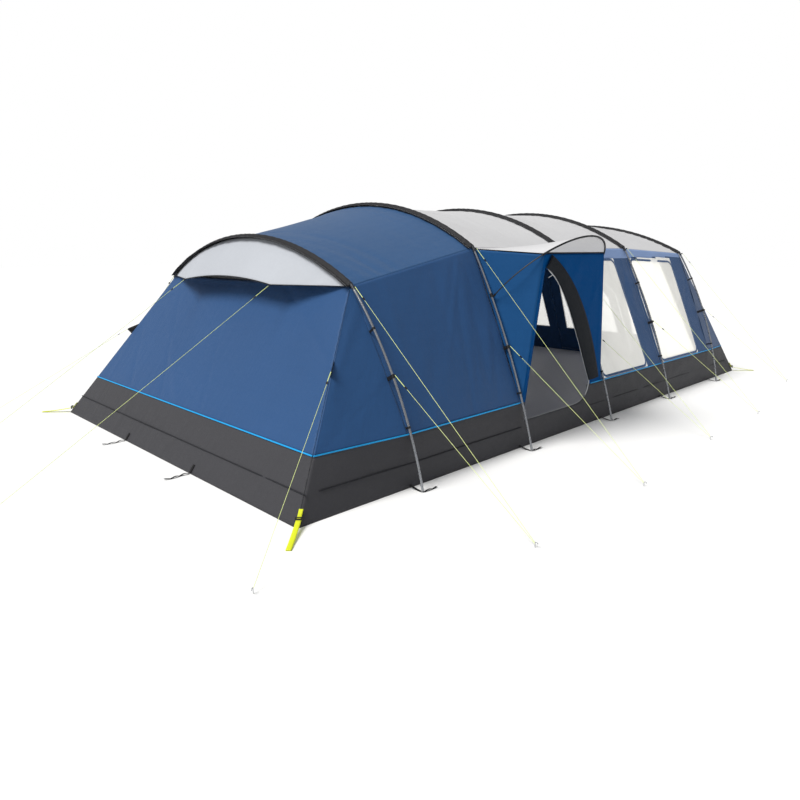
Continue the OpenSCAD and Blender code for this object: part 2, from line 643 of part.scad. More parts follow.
module clip(i, z, big) {
    ring_h = big ? 28 : 16;
    arm_t = big ? 16 : 9;
    reach = wall_reach(i, z);
    at_leg(i, [leg_w(i, z), z]) {
        difference() {
            union() {
                cylinder(d = leg_d + 8, h = ring_h, center = true);
                translate([-arm_t / 2, -reach + 0.7, -ring_h / 2]) cube([arm_t, reach - 0.7 - leg_d / 2, ring_h]);
                if (big) translate([-2.5, 0, -8]) cube([5, leg_d / 2 + 15, 16]);
            }
            cylinder(d = leg_d + 2 * fit_gap, h = ring_h + 2, center = true);
        }
    }
}

// Socket on a porch leg that holds one end of the porch pole
module porch_socket() {
    z = porch_foot_h;
    w = leg_w(1, z);
    difference() {
        union() {
            at_leg(1, [w, z]) cylinder(d = leg_d + 8, h = 30, center = true);
            translate([hoop_x[1] - 6, w + 5, z - 8]) cube([12, porch_foot_w - w - 5, 12]);
            translate([hoop_x[1], porch_foot_w, z]) rotate([-45, 0, 0]) translate([0, 0, -12]) cylinder(d = 18, h = 26);
        }
        at_leg(1, [w, z]) cylinder(d = leg_d + 2 * fit_gap, h = 60, center = true);
        translate([hoop_x[1], porch_foot_w, z]) rotate([-45, 0, 0]) translate([0, 0, -fit_gap])
            cylinder(d = porch_pole_d + 2 * fit_gap, h = 30);
    }
}

module pole_clips() {
    color([0.1, 0.1, 0.11]) {
        both_sides() for (i = [0:4]) for (k = [1, 2]) clip(i, clip_h[i][k], k == 1);
        for (i = [0, 3, 4]) both_sides() clip(i, clip_h[i][0], false);
        for (i = [1, 2]) clip(i, clip_h[i][0], false);
        mirror([0, 1, 0]) porch_socket();
        translate([bay_2, 0, 0]) mirror([0, 1, 0]) porch_socket();
        // Tabs that carry the upper guys
        both_sides() for (i = [0:4]) let (
            a = leg_angle(i, elbow[i]), start = tab_drop * tan(a) + ferrule_r / cos(a) + fit_gap)
            translate([hoop_x[i] - 2, elbow[i][0] + start, elbow[i][1] - tab_drop]) cube([4, tab_out - start, 14]);
    }
}

module foot_pins() {
    color("silver") both_sides() for (i = [0:4]) {
        translate([hoop_x[i], leg_foot(i)[0], 4]) rotate_extrude() translate([12, 0]) circle(d = 4, $fn = 24);
        at_leg(i, leg_foot(i)) translate([0, 0, -collar_h - fit_gap]) {
            cylinder(d = leg_d + 2, h = collar_h);
            cylinder(d = pin_d, h = pin_l);
            translate([0, 0, -foot_h + collar_h + 8]) cylinder(d = pin_d, h = foot_h - collar_h - 6);
        }
        translate([hoop_x[i] - 12, leg_foot(i)[0] - 3, 2]) cube([24, 6, 4]);
    }
}

// Sloping strap with its buckle at a corner of the base, from the corner seam to the ground
module corner_strap(i) {
    lift = 46;
    foot = seam(i, lift / shoulder(i)[1]);
    start = [abs(foot[0]), -foot[1], lift];
    end = [front_x + strap_l * 0.7, half_w + strap_l * 0.7, 2];
    run = end - start;
    buckle_l = 34;
    translate(start) rotate([0, asin(-run[2] / norm(run)), atan2(run[1], run[0])]) translate([0.8, -strap_w / 2, 0]) {
        color([0.88, 0.91, 0.24]) cube([norm(run) - 0.8, strap_w, 1.6]);
        color([0.08, 0.08, 0.09]) translate([buckle_l / 2, -4, 1.6]) cube([buckle_l, strap_w + 8, 7]);
        color([0.88, 0.91, 0.24]) translate([norm(run) - 40, strap_w / 2 - 9, 1.6]) cube([26, 18, 3]);
    }
}

module corner_straps() {
    both_sides() {
        corner_strap(4);
        mirror([1, 0, 0]) corner_strap(0);
    }
}

// Black tab that is sewn on the foot of an end, with its tail on the ground
module end_tab() {
    cube([200, 15, 1.5]);
    translate([-4.3, 2, 1.5]) cube([14, 11, 10]);
}

module webbing_tabs() {
    color([0.07, 0.07, 0.08]) {
        for (y = [-630, 570]) translate([rear_x - 4, y, 0]) mirror([1, 0, 0]) end_tab();
        for (y = [-1150, 1150]) translate([front_x + 4, y, 0]) end_tab();
        // Straps that tie the pole feet to the skirt, and their tails
        both_sides() for (i = [0:4]) translate([hoop_x[i], half_w, 0]) {
            translate([-10, 0.6, 0]) cube([20, foot_out + 18, 1.6]);
            translate([10, foot_out, 0]) cube([130, 18, 1.6]);
        }
        both_sides() {
            // On each rear corner seam, for the corner guy
            guy_tab(seam(0, 0.59) + [-0.8, -0.8, 0], seam(0, 0.63) + [-0.8, -0.8, 0], GUYS[10][0], [-1.4, 1.4, 0]);
            // On each lower corner of the rear hood, for the hood guy
            guy_tab([hoop_x[0] - hood_reach - 0.2, -hood_corner_w - 12, shoulder(0)[1] - hood_drop],
                [hoop_x[0] - hood_reach - 0.2, -hood_corner_w + 12, shoulder(0)[1] - hood_drop],
                GUYS[11][0], [0, 0, -1.5]);
        }
    }
}

// Webbing triangle from a seam, between points a and b, to just short of a guy's hook
module guy_tab(a, b, hook, thick) {
    mid = (a + b) / 2;
    tip = hook + unit(mid - hook) * 2;
    rows = [[a, b], [tip + unit(a - b) * 5, tip + unit(b - a) * 5]];
    front = [for (row = rows) [for (p = row) p + thick / 2]];
    back = [for (row = rows) [for (p = row) p - thick / 2]];
    slab(front, back);
}

module guys() {
    color([0.86, 0.92, 0.62]) for (g = GUYS) let (
        d = unit(g[1] - g[0]), stop = peg_rod / 2 + guy_d / 2 * abs(d[2]) + 0.2)
        tube([g[0], g[1] - d * stop / norm([d[0], d[1]])], guy_d);
}

module near_guys() {
    guys();
}

module far_guys() {
    mirror([0, 1, 0]) guys();
}

// Sliding tensioner on each guy
module guy_runners() {
    color([0.1, 0.1, 0.11]) both_sides() for (k = [0:len(GUYS) - 1]) let (
        d = unit(GUYS[k][1] - GUYS[k][0]), p = GUYS[k][0] + d * RUNNER_AT[k])
        translate(p) rotate([0, acos(d[2]), atan2(d[1], d[0])]) difference() {
            translate([-8, -3, -14]) cube([16, 6, 28]);
            translate([0, 0, -15]) cylinder(d = guy_d + 2 * fit_gap, h = 30);
        }
}

// The part of each peg that stands above the ground, with its hook
module guy_pegs() {
    hook_r = 9;
    color("silver") both_sides() for (p = PEGS) translate([p[0], p[1], 0]) rotate([0, 0, p[2]]) {
        cylinder(d = peg_rod, h = peg_h - hook_r);
        translate([hook_r, 0, peg_h - hook_r]) rotate([90, 0, 0]) rotate_extrude(angle = 180)
            translate([hook_r, 0]) circle(d = peg_rod, $fn = 24);
    }
}

// Profile of the sleeping tent at a station: [x, half width at the elbow, elbow height, top height]
inner_back = [rear_x + 170, rear_elbow_w - inner_gap, 90, 110];
inner_mid = [hoop_x[0], rear_elbow_w - inner_gap, rear_elbow_h - 1.4 * inner_gap, rear_elbow_h - inner_gap];
inner_end = [hoop_x[1] - 60, elbow_w - inner_gap, elbow_h - inner_gap, apex_h - inner_gap - sleeve_r];
inner_foot_w = half_w - 170;
inner_foot_h = 6;

function inner_profile(s, depth) = let (
    rise = s[3] - s[2], r = (s[1] * s[1] + rise * rise) / (2 * rise), a = asin(s[1] / r),
    arc = [for (k = [0:16]) let (t = a * (k / 8 - 1)) [(r - depth) * sin(t), s[3] - r + (r - depth) * cos(t)]])
    concat([[-inner_foot_w + depth, inner_foot_h]], arc, [[inner_foot_w - depth, inner_foot_h]]);

module inner_tent() {
    stations = [inner_back, inner_mid, inner_end];
    grids = [for (depth = [0, fabric_t]) [for (s = stations) [for (p = inner_profile(s, depth)) [s[0], p[0], p[1]]]]];
    color([0.72, 0.74, 0.78]) {
        slab(grids[0], grids[1]);
        translate([inner_back[0] - 1, -inner_foot_w, 1.8])
            cube([inner_end[0] - inner_back[0] + 1, 2 * inner_foot_w, 1.4]);
    }
}

module inner_plane(t) {
    translate([inner_end[0] + seam_gap, 0, 0]) rotate([90, 0, 90]) linear_extrude(t) children();
}

// Outline of a sleeping tent door, hinged at the middle post
inner_hinge_y = 150;
inner_sill = 60;
inner_outline = concat(
    [[inner_hinge_y, inner_sill]], [[inner_hinge_y + inner_door_w - 80, inner_sill]],
    curve([[inner_hinge_y + inner_door_w - 30, inner_sill], [inner_hinge_y + inner_door_w, 80],
        [inner_hinge_y + inner_door_w, 120], [inner_hinge_y + inner_door_w, 200]], 4),
    curve([[inner_hinge_y + inner_door_w, inner_door_h - 360], [inner_hinge_y + inner_door_w, inner_door_h - 120],
        [inner_hinge_y + 420, inner_door_h + inner_sill], [inner_hinge_y, inner_door_h + inner_sill]], 10));

module inner_front() {
    color([0.66, 0.69, 0.74]) inner_plane(fabric_t) difference() {
        polygon([for (p = inner_profile(inner_end, 0)) p]);
        for (side = [-1, 1]) mirror([side < 0 ? 1 : 0, 0]) polygon(inner_outline);
    }
}

module inner_door_near() {
    mirror([0, 1, 0]) inner_door_far();
}

module inner_door_far() {
    color([0.6, 0.64, 0.7]) inner_plane(fabric_t) polygon(hang(inner_outline, [inner_hinge_y, inner_sill],
        [inner_hinge_y, inner_door_h + inner_sill], 1));
}

for (i = [0:4]) bow(i);
for (i = [0:4]) legs(i);
for (i = [0:4]) sleeve(i);
for (i = [0:3]) roof(i);
elbow_ferrules();
near_wall_1();
near_window_walls();
far_plain_walls();
far_window_walls();
rear_gussets();
front_gussets();
near_windows();
far_windows();
rear_wall();
rear_hood();
front_wall();
front_hood();
vent_mesh();
front_windows();
front_door();
front_door_window();
skirt_near();
skirt_far();
skirt_rear();
skirt_front();
piping();
groundsheet();
porch_pole();
porch_roof();
porch_gable();
porch_front();
porch_cheeks();
side_door();
pole_clips();
foot_pins();
corner_straps();
webbing_tabs();
near_guys();
far_guys();
guy_runners();
guy_pegs();
inner_tent();
inner_front();
inner_door_near();
inner_door_far();
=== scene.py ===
import math

import bmesh
import bpy
import numpy as np
from mathutils import Matrix, Vector, geometry


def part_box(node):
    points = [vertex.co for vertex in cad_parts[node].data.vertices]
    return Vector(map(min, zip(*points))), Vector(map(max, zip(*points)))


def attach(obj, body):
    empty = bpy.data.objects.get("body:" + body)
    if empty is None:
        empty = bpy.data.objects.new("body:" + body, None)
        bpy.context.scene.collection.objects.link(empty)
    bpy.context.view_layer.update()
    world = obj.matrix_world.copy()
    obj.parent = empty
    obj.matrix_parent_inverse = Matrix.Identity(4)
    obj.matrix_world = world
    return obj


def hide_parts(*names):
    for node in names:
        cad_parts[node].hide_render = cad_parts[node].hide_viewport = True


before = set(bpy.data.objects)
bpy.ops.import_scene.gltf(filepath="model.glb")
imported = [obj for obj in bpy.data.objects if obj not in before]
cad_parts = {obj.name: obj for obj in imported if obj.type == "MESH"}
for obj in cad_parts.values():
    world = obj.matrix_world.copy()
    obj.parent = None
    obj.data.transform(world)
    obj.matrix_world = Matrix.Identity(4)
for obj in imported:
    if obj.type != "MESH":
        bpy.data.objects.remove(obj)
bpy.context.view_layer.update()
scene = bpy.context.scene
shell = "tent_shell"
print("frame loaded:", len(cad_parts), "nodes")

# view
view = {
    "place": (-5.764, -4.985, 1.648),
    "turn": 44.57,  # degrees from +Y towards +X
    "dip": 13.3,  # degrees below level
    "lens": 28.68,
}


def makeCamera():
    turn, dip = math.radians(view["turn"]), math.radians(view["dip"])
    look = Vector((math.sin(turn) * math.cos(dip), math.cos(turn) * math.cos(dip), -math.sin(dip)))
    data = bpy.data.cameras.new("tentCamera")
    data.sensor_width = 36
    data.lens = view["lens"]
    data.clip_end = 200
    camera = bpy.data.objects.new("tentCamera", data)
    camera.location = view["place"]
    camera.rotation_euler = look.to_track_quat("-Z", "Y").to_euler()
    scene.collection.objects.link(camera)
    scene.camera = camera


makeCamera()
print("camera placed")


# shader helpers
class Wire:
    # one shader socket, so that sums of them read as sums
    def __init__(self, maker, socket):
        self.maker = maker
        self.socket = socket

    def sum(self, operation, *values):
        return self.maker.node("ShaderNodeMath", {"operation": operation}, dict(enumerate(values)))

    def __add__(self, other):
        return self.sum("ADD", self, other)

    def __radd__(self, other):
        return self.sum("ADD", other, self)

    def __sub__(self, other):
        return self.sum("SUBTRACT", self, other)

    def __rsub__(self, other):
        return self.sum("SUBTRACT", other, self)

    def __mul__(self, other):
        return self.sum("MULTIPLY", self, other)

    def __rmul__(self, other):
        return self.sum("MULTIPLY", other, self)

    def __truediv__(self, other):
        return self.sum("DIVIDE", self, other)

    def __pow__(self, other):
        return self.sum("POWER", self, other)

    def sine(self):
        return self.sum("SINE", self)

    def size(self):
        return self.sum("ABSOLUTE", self)

    def clamped(self, low, high):
        return self.maker.node("ShaderNodeMapRange", {"clamp": True}, {0: self, 1: low, 2: high, 3: 0.0, 4: 1.0})


class Maker:
    # builds the nodes of one material
    def __init__(self, name):
        self.material = bpy.data.materials.new(name)
        self.material.use_nodes = True
        self.tree = self.material.node_tree
        self.tree.nodes.clear()

    def node(self, kind, settings=None, sockets=None, out=0):
        made = self.tree.nodes.new(kind)
        for key, value in (settings or {}).items():
            if key == "stops":
                ramp = made.color_ramp
                while len(ramp.elements) < len(value):
                    ramp.elements.new(0.5)
                for element, (place, tone) in zip(ramp.elements, value):
                    element.position = place
                    element.color = (tone, tone, tone, 1)
            else:
                setattr(made, key, value)
        for key, value in (sockets or {}).items():
            if isinstance(value, Wire):
                self.tree.links.new(value.socket, made.inputs[key])
            else:
                made.inputs[key].default_value = value
        return Wire(self, made.outputs[out]) if made.outputs else None

    def place(self):
        return self.node("ShaderNodeTexCoord", out=3)

    def cloth(self):
        return self.node("ShaderNodeUVMap", {"uv_map": "clothMap"})

    def axes(self, vector):
        split = self.node("ShaderNodeSeparateXYZ", None, {0: vector})
        made = split.socket.node
        return [Wire(self, made.outputs[k]) for k in range(3)]

    def stretched(self, vector, scale, turn=0.0):
        return self.node("ShaderNodeMapping", None, {0: vector, 2: (0, 0, turn), 3: scale})

    def noise(self, vector, scale, detail=3.0, rough=0.5):
        return self.node("ShaderNodeTexNoise", None, {"Vector": vector, "Scale": scale, "Detail": detail,
                                                      "Roughness": rough})

    def blend(self, factor, first, second):
        return self.node("ShaderNodeMix", {"data_type": "RGBA"}, {0: factor, 6: first, 7: second}, 2)

    def bump(self, height, strength, distance):
        return self.node("ShaderNodeBump", None, {"Strength": strength, "Distance": distance, "Height": height})

    def finish(self, varying, fixed):
        shader = self.node("ShaderNodeBsdfPrincipled", None, {**varying, **fixed})
        self.node("ShaderNodeOutputMaterial", None, {0: shader})
        return self.material


def tone(color, factor):
    return (*[min(1.0, c * factor) for c in color], 1)


def fromScreen(red, green, blue):
    # a screen colour, 0 to 255, as the linear colour that a shader takes
    return tuple(((c / 255 + 0.055) / 1.055) ** 2.4 if c > 10 else c / 255 / 12.92 for c in (red, green, blue))


cloths = {
    "flyBlue": {"color": fromScreen(38, 76, 122), "rough": 0.5, "sheen": 0.1, "folds": 0.5, "rip": 0.0055},
    "roofBlue": {"color": fromScreen(46, 84, 128), "rough": 0.44, "sheen": 0.14, "folds": 0.6, "rip": 0.0055},
    # hoodShadedWhite is the roof white made darker and cooler: painted shade, because the hoods sit in shade
    "hoodShadedWhite": {"color": fromScreen(180, 184, 191), "rough": 0.55, "sheen": 0.05, "folds": 0.5, "rip": 0.0055},
    "roofWhite": {"color": fromScreen(208, 208, 210), "rough": 0.55, "sheen": 0.05, "folds": 0.5, "rip": 0.0055},
    "eaveBlue": {"color": fromScreen(128, 154, 200), "rough": 0.55, "sheen": 0.1, "folds": 0.4, "rip": 0.0055},
    "porchBlue": {"color": fromScreen(0, 68, 126), "rough": 0.6, "sheen": 0.0, "shine": 0.03, "folds": 0.5,
                  "rip": 0.0055},
    "cheekBlue": {"color": fromScreen(26, 74, 122), "rough": 0.55, "sheen": 0.02, "shine": 0.08, "folds": 0.5,
                  "rip": 0.0055},
    "flapNavy": {"color": fromScreen(4, 12, 22), "rough": 0.7, "sheen": 0.0, "folds": 0.4, "rip": 0.0055},
    "skirtGrey": {"color": fromScreen(60, 60, 64), "rough": 0.6, "sheen": 0.05, "folds": 0.6, "rip": 0.003},
    "seamGrey": {"color": fromScreen(34, 34, 37), "rough": 0.66, "sheen": 0.03, "folds": 0.3, "rip": 0.003},
    "sleeveGrey": {"color": fromScreen(32, 32, 35), "rough": 0.55, "sheen": 0.05, "folds": 0.8, "rip": 0.002},
    # blindCream's paintedGlow is painted light: the cream blind behind the window gives off light to read as bright
    # daylight
    "blindCream": {"color": fromScreen(243, 242, 237), "rough": 0.7, "sheen": 0.1, "folds": 0.5, "rip": 0.004,
                   "paintedGlow": 0.12},
    "sleepGrey": {"color": fromScreen(176, 181, 190), "rough": 0.7, "sheen": 0.1, "folds": 0.6, "rip": 0.004},
    # floorGrey's paintedGlow is painted light: the floor cloth gives off a little light to stand for daylight through
    # the tent's cloth
    "floorGrey": {"color": fromScreen(160, 162, 172), "rough": 0.45, "sheen": 0.1, "folds": 0.4, "rip": 0.004,
                  "paintedGlow": 0.06},
    "bindingBlack": {"color": fromScreen(22, 22, 24), "rough": 0.7, "sheen": 0.05, "folds": 0.3, "rip": 0.0018},
    "pipingCyan": {"color": fromScreen(24, 156, 222), "rough": 0.5, "sheen": 0.05, "folds": 0.2, "rip": 0.0018},
    "zipGrey": {"color": fromScreen(186, 188, 190), "rough": 0.6, "sheen": 0.05, "folds": 0.2, "rip": 0.0018},
    "strapYellow": {"color": fromScreen(222, 230, 44), "rough": 0.6, "sheen": 0.05, "folds": 0.3, "rip": 0.0024},
}


def clothMaterial(name):
    look = cloths[name]
    make = Maker(name)
    uv, place = make.cloth(), make.place()
    across, up, _ = make.axes(uv)
    broad = make.noise(place, 1.1, 3.0)
    fine = make.noise(place, 42.0, 2.0)
    mottled = make.blend(broad, tone(look["color"], 0.9), tone(look["color"], 1.1))
    color = make.blend(fine * 0.22, mottled, tone(look["color"], 0.78))
    turns = 2 * math.pi / look["rip"]
    threads = (across * turns).sine().size() ** 8 + (up * turns).sine().size() ** 8  # ripstop grid
    weave = (across * turns * 5).sine() * (up * turns * 5).sine()
    drag = make.noise(make.stretched(uv, (1.2, 5.0, 1.0), 0.35), 2.4, 4.0, 0.55)
    pull = make.noise(make.stretched(uv, (6.0, 1.0, 1.0), -0.2), 1.7, 3.0, 0.5)
    pressed = ((across * 9.1).sine() * (up * 7.3).sine()).size() ** 14  # faint creases from the pack
    height = threads * 0.02 + weave * 0.008 + (drag + pull) * look["folds"] + pressed * 0.05
    # the emission below, set by paintedGlow, is painted light: a cloth gives off light of its own colour
    return make.finish(
        {"Base Color": color, "Roughness": look["rough"] + (fine - 0.5) * 0.16 + (broad - 0.5) * 0.1,
         "Normal": make.bump(height, 0.55, 0.012)},
        {"Sheen Weight": look["sheen"], "Sheen Roughness": 0.45, "Specular IOR Level": look.get("shine", 0.2),
         "Emission Color": (*look["color"], 1), "Emission Strength": look.get("paintedGlow", 0.0)},
    )


solids = {
    "legSteel": {"color": fromScreen(160, 163, 168), "rough": 0.28, "metal": 0.85, "grain": 60, "bump": 0.15},
    "brightSteel": {"color": fromScreen(186, 188, 190), "rough": 0.3, "metal": 1.0, "grain": 90, "bump": 0.2},
    "elbowSteel": {"color": fromScreen(70, 72, 76), "rough": 0.4, "metal": 0.7, "grain": 90, "bump": 0.2},
    "poleBlack": {"color": fromScreen(30, 31, 33), "rough": 0.42, "metal": 0.0, "grain": 150, "bump": 0.1},
    "plasticBlack": {"color": fromScreen(22, 22, 24), "rough": 0.46, "metal": 0.0, "grain": 420, "bump": 0.35},
    "threadPale": {"color": fromScreen(196, 200, 206), "rough": 0.7, "metal": 0.0, "grain": 900, "bump": 0.4},
    "threadDark": {"color": fromScreen(20, 30, 48), "rough": 0.7, "metal": 0.0, "grain": 900, "bump": 0.4},
    "zipSilver": {"color": fromScreen(150, 153, 158), "rough": 0.35, "metal": 0.4, "grain": 500, "bump": 0.2},
}


def solidMaterial(name):
    look = solids[name]
    make = Maker(name)
    place = make.place()
    grain = make.noise(place, look["grain"], 3.0)
    worn = make.noise(place, 9.0, 4.0, 0.6)
    color = make.blend(worn, tone(look["color"], 0.82), tone(look["color"], 1.16))
    return make.finish(
        {"Base Color": color, "Roughness": look["rough"] + (grain - 0.5) * 0.18 + (worn - 0.5) * 0.12,
         "Normal": make.bump(grain, look["bump"], 0.0006)},
        {"Metallic": look["metal"], "Specular IOR Level": 0.5},
    )


def cordMaterial():
    make = Maker("guyGreen")
    x, y, z = make.axes(make.place())
    twist = ((x + y * 0.7) * 900.0).sine() * ((z - y * 0.6) * 900.0).sine()
    fleck = twist.clamped(0.2, 0.7)
    color = make.blend(fleck, (*fromScreen(216, 232, 128), 1), (*fromScreen(242, 246, 214), 1))
    return make.finish({"Base Color": color, "Roughness": 0.55 + twist * 0.06,
                        "Normal": make.bump(twist, 0.3, 0.0006)}, {"Sheen Weight": 0.3})


def filmMaterial(name, alpha, color):
    make = Maker(name)
    uv, place = make.cloth(), make.place()
    ripple = make.noise(make.stretched(uv, (1.0, 3.2, 1.0), 0.4), 2.0, 3.0)
    haze = make.noise(place, 3.0, 4.0, 0.6)
    # the film gives off light of its own near-white colour at strength 0.42: painted light for daylight through the
    # windows
    return make.finish(
        {"Base Color": make.blend(haze, tone(color, 0.95), tone(color, 1.03)),
         "Roughness": 0.12 + haze * 0.14, "Alpha": alpha + (haze - 0.5) * 0.08,
         "Normal": make.bump(ripple, 0.5, 0.02)},
        {"Specular IOR Level": 0.6, "Emission Color": (*color, 1), "Emission Strength": 0.42},
    )


def meshMaterial():
    make = Maker("insectMesh")
    across, up, _ = make.axes(make.cloth())
    holes = ((across * 2500.0).sine() * (up * 2500.0).sine()).clamped(0.0, 0.9)
    return make.finish({"Base Color": make.blend(holes, (0.02, 0.022, 0.026, 1), (0.006, 0.006, 0.008, 1)),
                        "Alpha": 1.0 - holes * 0.35, "Roughness": 0.8 - holes * 0.1}, {"Sheen Weight": 0.2})


finish = {name: clothMaterial(name) for name in cloths}
finish.update({name: solidMaterial(name) for name in solids})
finish["guyGreen"] = cordMaterial()
finish["windowFilm"] = filmMaterial("windowFilm", 0.4, fromScreen(250, 249, 244))
finish["insectMesh"] = meshMaterial()
print("materials made:", len(finish))

# the tent's lines, in metres
plan = {
    "elbowOut": (1.390, 1.430, 1.430, 1.430, 1.490),  # half width at the pole elbows
    "elbowUp": (1.400, 1.670, 1.670, 1.670, 1.610),
    "sleeveRadius": 0.015,
    "seam": 0.0003,
    "skirtUp": 0.387,
    "skirtLean": 0.020,
    "cornerSkirt": 0.360,
    "swell": 0.012,
    "hollow": 0.008,
    "dip": 0.018,
}
hoopX = [sum(c.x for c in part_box(f"bow_{k}")) / 2 for k in range(1, 6)]
bowRadius = [(hi.x - lo.x) / 2 for lo, hi in (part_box(f"bow_{k}") for k in range(1, 6))]
apexUp = [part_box(f"bow_{k}")[1].z - bowRadius[k - 1] for k in range(1, 6)]
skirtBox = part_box("skirt_near")
rearX, frontX, halfWidth = skirtBox[0].x, skirtBox[1].x, -skirtBox[0].y


def hoopArc(k):
    out, rise = plan["elbowOut"][k], apexUp[k] - plan["elbowUp"][k]
    radius = (out * out + rise * rise) / (2 * rise)
    return radius, apexUp[k] - radius, math.asin(out / radius)


arcs = [hoopArc(k) for k in range(5)]
flyRadius = [a[0] - plan["sleeveRadius"] - plan["seam"] for a in arcs]
shoulders = [(r * math.sin(a[2]), a[1] + r * math.cos(a[2])) for r, a in zip(flyRadius, arcs)]
wallFoot = (halfWidth - plan["skirtLean"], plan["skirtUp"])


def mix(a, b, t):
    return a + (b - a) * t


def roofSurface(k, u, s):
    radius = mix(flyRadius[k], flyRadius[k + 1], u)
    turn = mix(arcs[k][2], arcs[k + 1][2], u) * s
    low = plan["dip"] * 4 * u * (1 - u) * (1 - s * s)
    edge = mix(arcs[k][2], arcs[k + 1][2], u)
    centre = mix(arcs[k][1], arcs[k + 1][1], u)
    slipOut = mix(shoulders[k][0], shoulders[k + 1][0], u) - radius * np.sin(edge)
    slipUp = mix(shoulders[k][1], shoulders[k + 1][1], u) - centre - radius * np.cos(edge)
    return np.stack([mix(hoopX[k], hoopX[k + 1], u), radius * np.sin(turn) + slipOut * s * np.abs(s),
                     centre + radius * np.cos(turn) + slipUp * s * s - low], -1)


def wallLine(k, v):
    # half width and height up the wall at hoop k, with v from the skirt to the shoulder
    top = shoulders[k]
    run = (top[0] - wallFoot[0], top[1] - wallFoot[1])
    long = math.hypot(*run)
    puff = plan["swell"] * 4 * v * (1 - v)
    return wallFoot[0] + run[0] * v + run[1] / long * puff, wallFoot[1] + run[1] * v - run[0] / long * puff


def wallSurface(k, u, v, side):
    (y0, z0), (y1, z1) = wallLine(k, v), wallLine(k + 1, v)
    tuck = plan["hollow"] * 16 * u * (1 - u) * v * (1 - v)
    return np.stack([mix(hoopX[k], hoopX[k + 1], u), side * (mix(y0, y1, u) - tuck * 0.9),
                     mix(z0, z1, u) - tuck * 0.4], -1)


def cornerSeam(end, t):
    k = 0 if end == "rear" else 4
    x0 = rearX if end == "rear" else frontX
    return mix(x0, hoopX[k], t), mix(halfWidth, shoulders[k][0], t), shoulders[k][1] * t


def softFolds(seed, across, up, count, depth, lean=0.0, spread=0.5, edge=0.05):
    # long shallow folds that fade at the seams; across and up are in metres
    rng = np.random.default_rng(seed)
    wide, tall = across.max() - across.min(), up.max() - up.min()
    total = np.zeros_like(across)
    for _ in range(count):
        cx = across.min() + rng.uniform(0.03, 0.97) * wide
        cy = up.min() + rng.uniform(0.03, 0.97) * tall
        turn = lean + rng.normal(0, spread)
        dx, dy = across - cx, up - cy
        along = dx * math.cos(turn) + dy * math.sin(turn)
        beside = dy * math.cos(turn) - dx * math.sin(turn)
        long, wideness = rng.uniform(0.15, 0.45) * max(wide, tall), rng.uniform(0.02, 0.06)
        total += rng.uniform(0.3, 1) * rng.choice([-1, 1]) * np.exp(-(beside / wideness) ** 2 - (along / long) ** 2)
    near = np.minimum(np.minimum(across - across.min(), across.max() - across),
                      np.minimum(up - up.min(), up.max() - up))
    return depth * total * np.clip(near / edge, 0, 1)


def gridNormals(points):
    du, dv = np.gradient(points, axis=0), np.gradient(points, axis=1)
    n = np.cross(du, dv)
    return n / np.maximum(np.linalg.norm(n, axis=-1, keepdims=True), 1e-9)


def lengths(points, axis):
    step = np.linalg.norm(np.diff(points, axis=axis), axis=-1)
    along = np.cumsum(step, axis=axis)
    pad = [(0, 0), (0, 0)]
    pad[axis] = (1, 0)
    return np.pad(along, pad)


def meshObject(name, verts, faces, uvs, material, thick=0.0, smooth=True):
    data = bpy.data.meshes.new(name)
    data.from_pydata([tuple(v) for v in verts], [], [tuple(f) for f in faces])
    layer = data.uv_layers.new(name="clothMap")
    corners = np.empty(len(data.loops), int)
    data.loops.foreach_get("vertex_index", corners)
    layer.data.foreach_set("uv", np.asarray(uvs, float)[corners].ravel())
    data.polygons.foreach_set("use_smooth", [smooth] * len(data.polygons))
    data.materials.append(finish[material])
    made = bpy.data.objects.new(name, data)
    scene.collection.objects.link(made)
    if thick:
        solid = made.modifiers.new("thickness", "SOLIDIFY")
        solid.thickness = thick
        solid.offset = -1
    return made


clothThick = 0.0012


def gridSheet(name, points, material, outward, thick=clothThick, holes=None):
    # points[i][j] is a grid; outward is a rough direction that its faces should look in
    n, m = points.shape[:2]
    flip = float(np.mean(gridNormals(points) @ np.asarray(outward, float))) < 0
    index = np.arange(n * m).reshape(n, m)
    quads = np.stack([index[:-1, :-1], index[1:, :-1], index[1:, 1:], index[:-1, 1:]], -1)
    if holes is not None:
        quads = quads[~holes]
    quads = quads.reshape(-1, 4)
    if flip:
        quads = quads[:, ::-1]
    uvs = np.stack([lengths(points, 0), lengths(points, 1)], -1).reshape(-1, 2)
    return meshObject(name, points.reshape(-1, 3), quads.tolist(), uvs, material, thick)


def area(obj):
    return sum(p.area for p in obj.data.polygons)


def pinned(obj, nodes, body=shell, flat=None):
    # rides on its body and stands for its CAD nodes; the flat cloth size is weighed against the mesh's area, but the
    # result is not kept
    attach(obj, body)
    if nodes:
        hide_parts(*nodes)
    if flat is not None:
        cloth = area(obj)
        whole = flat[0] * flat[1]
        min(max(cloth, whole * 0.31), whole)
    return obj


def dressed(obj, body=shell):
    # trim that stands for no CAD node
    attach(obj, body)
    return obj


def spaced(length, step=0.018):
    return max(2, int(round(length / step)))


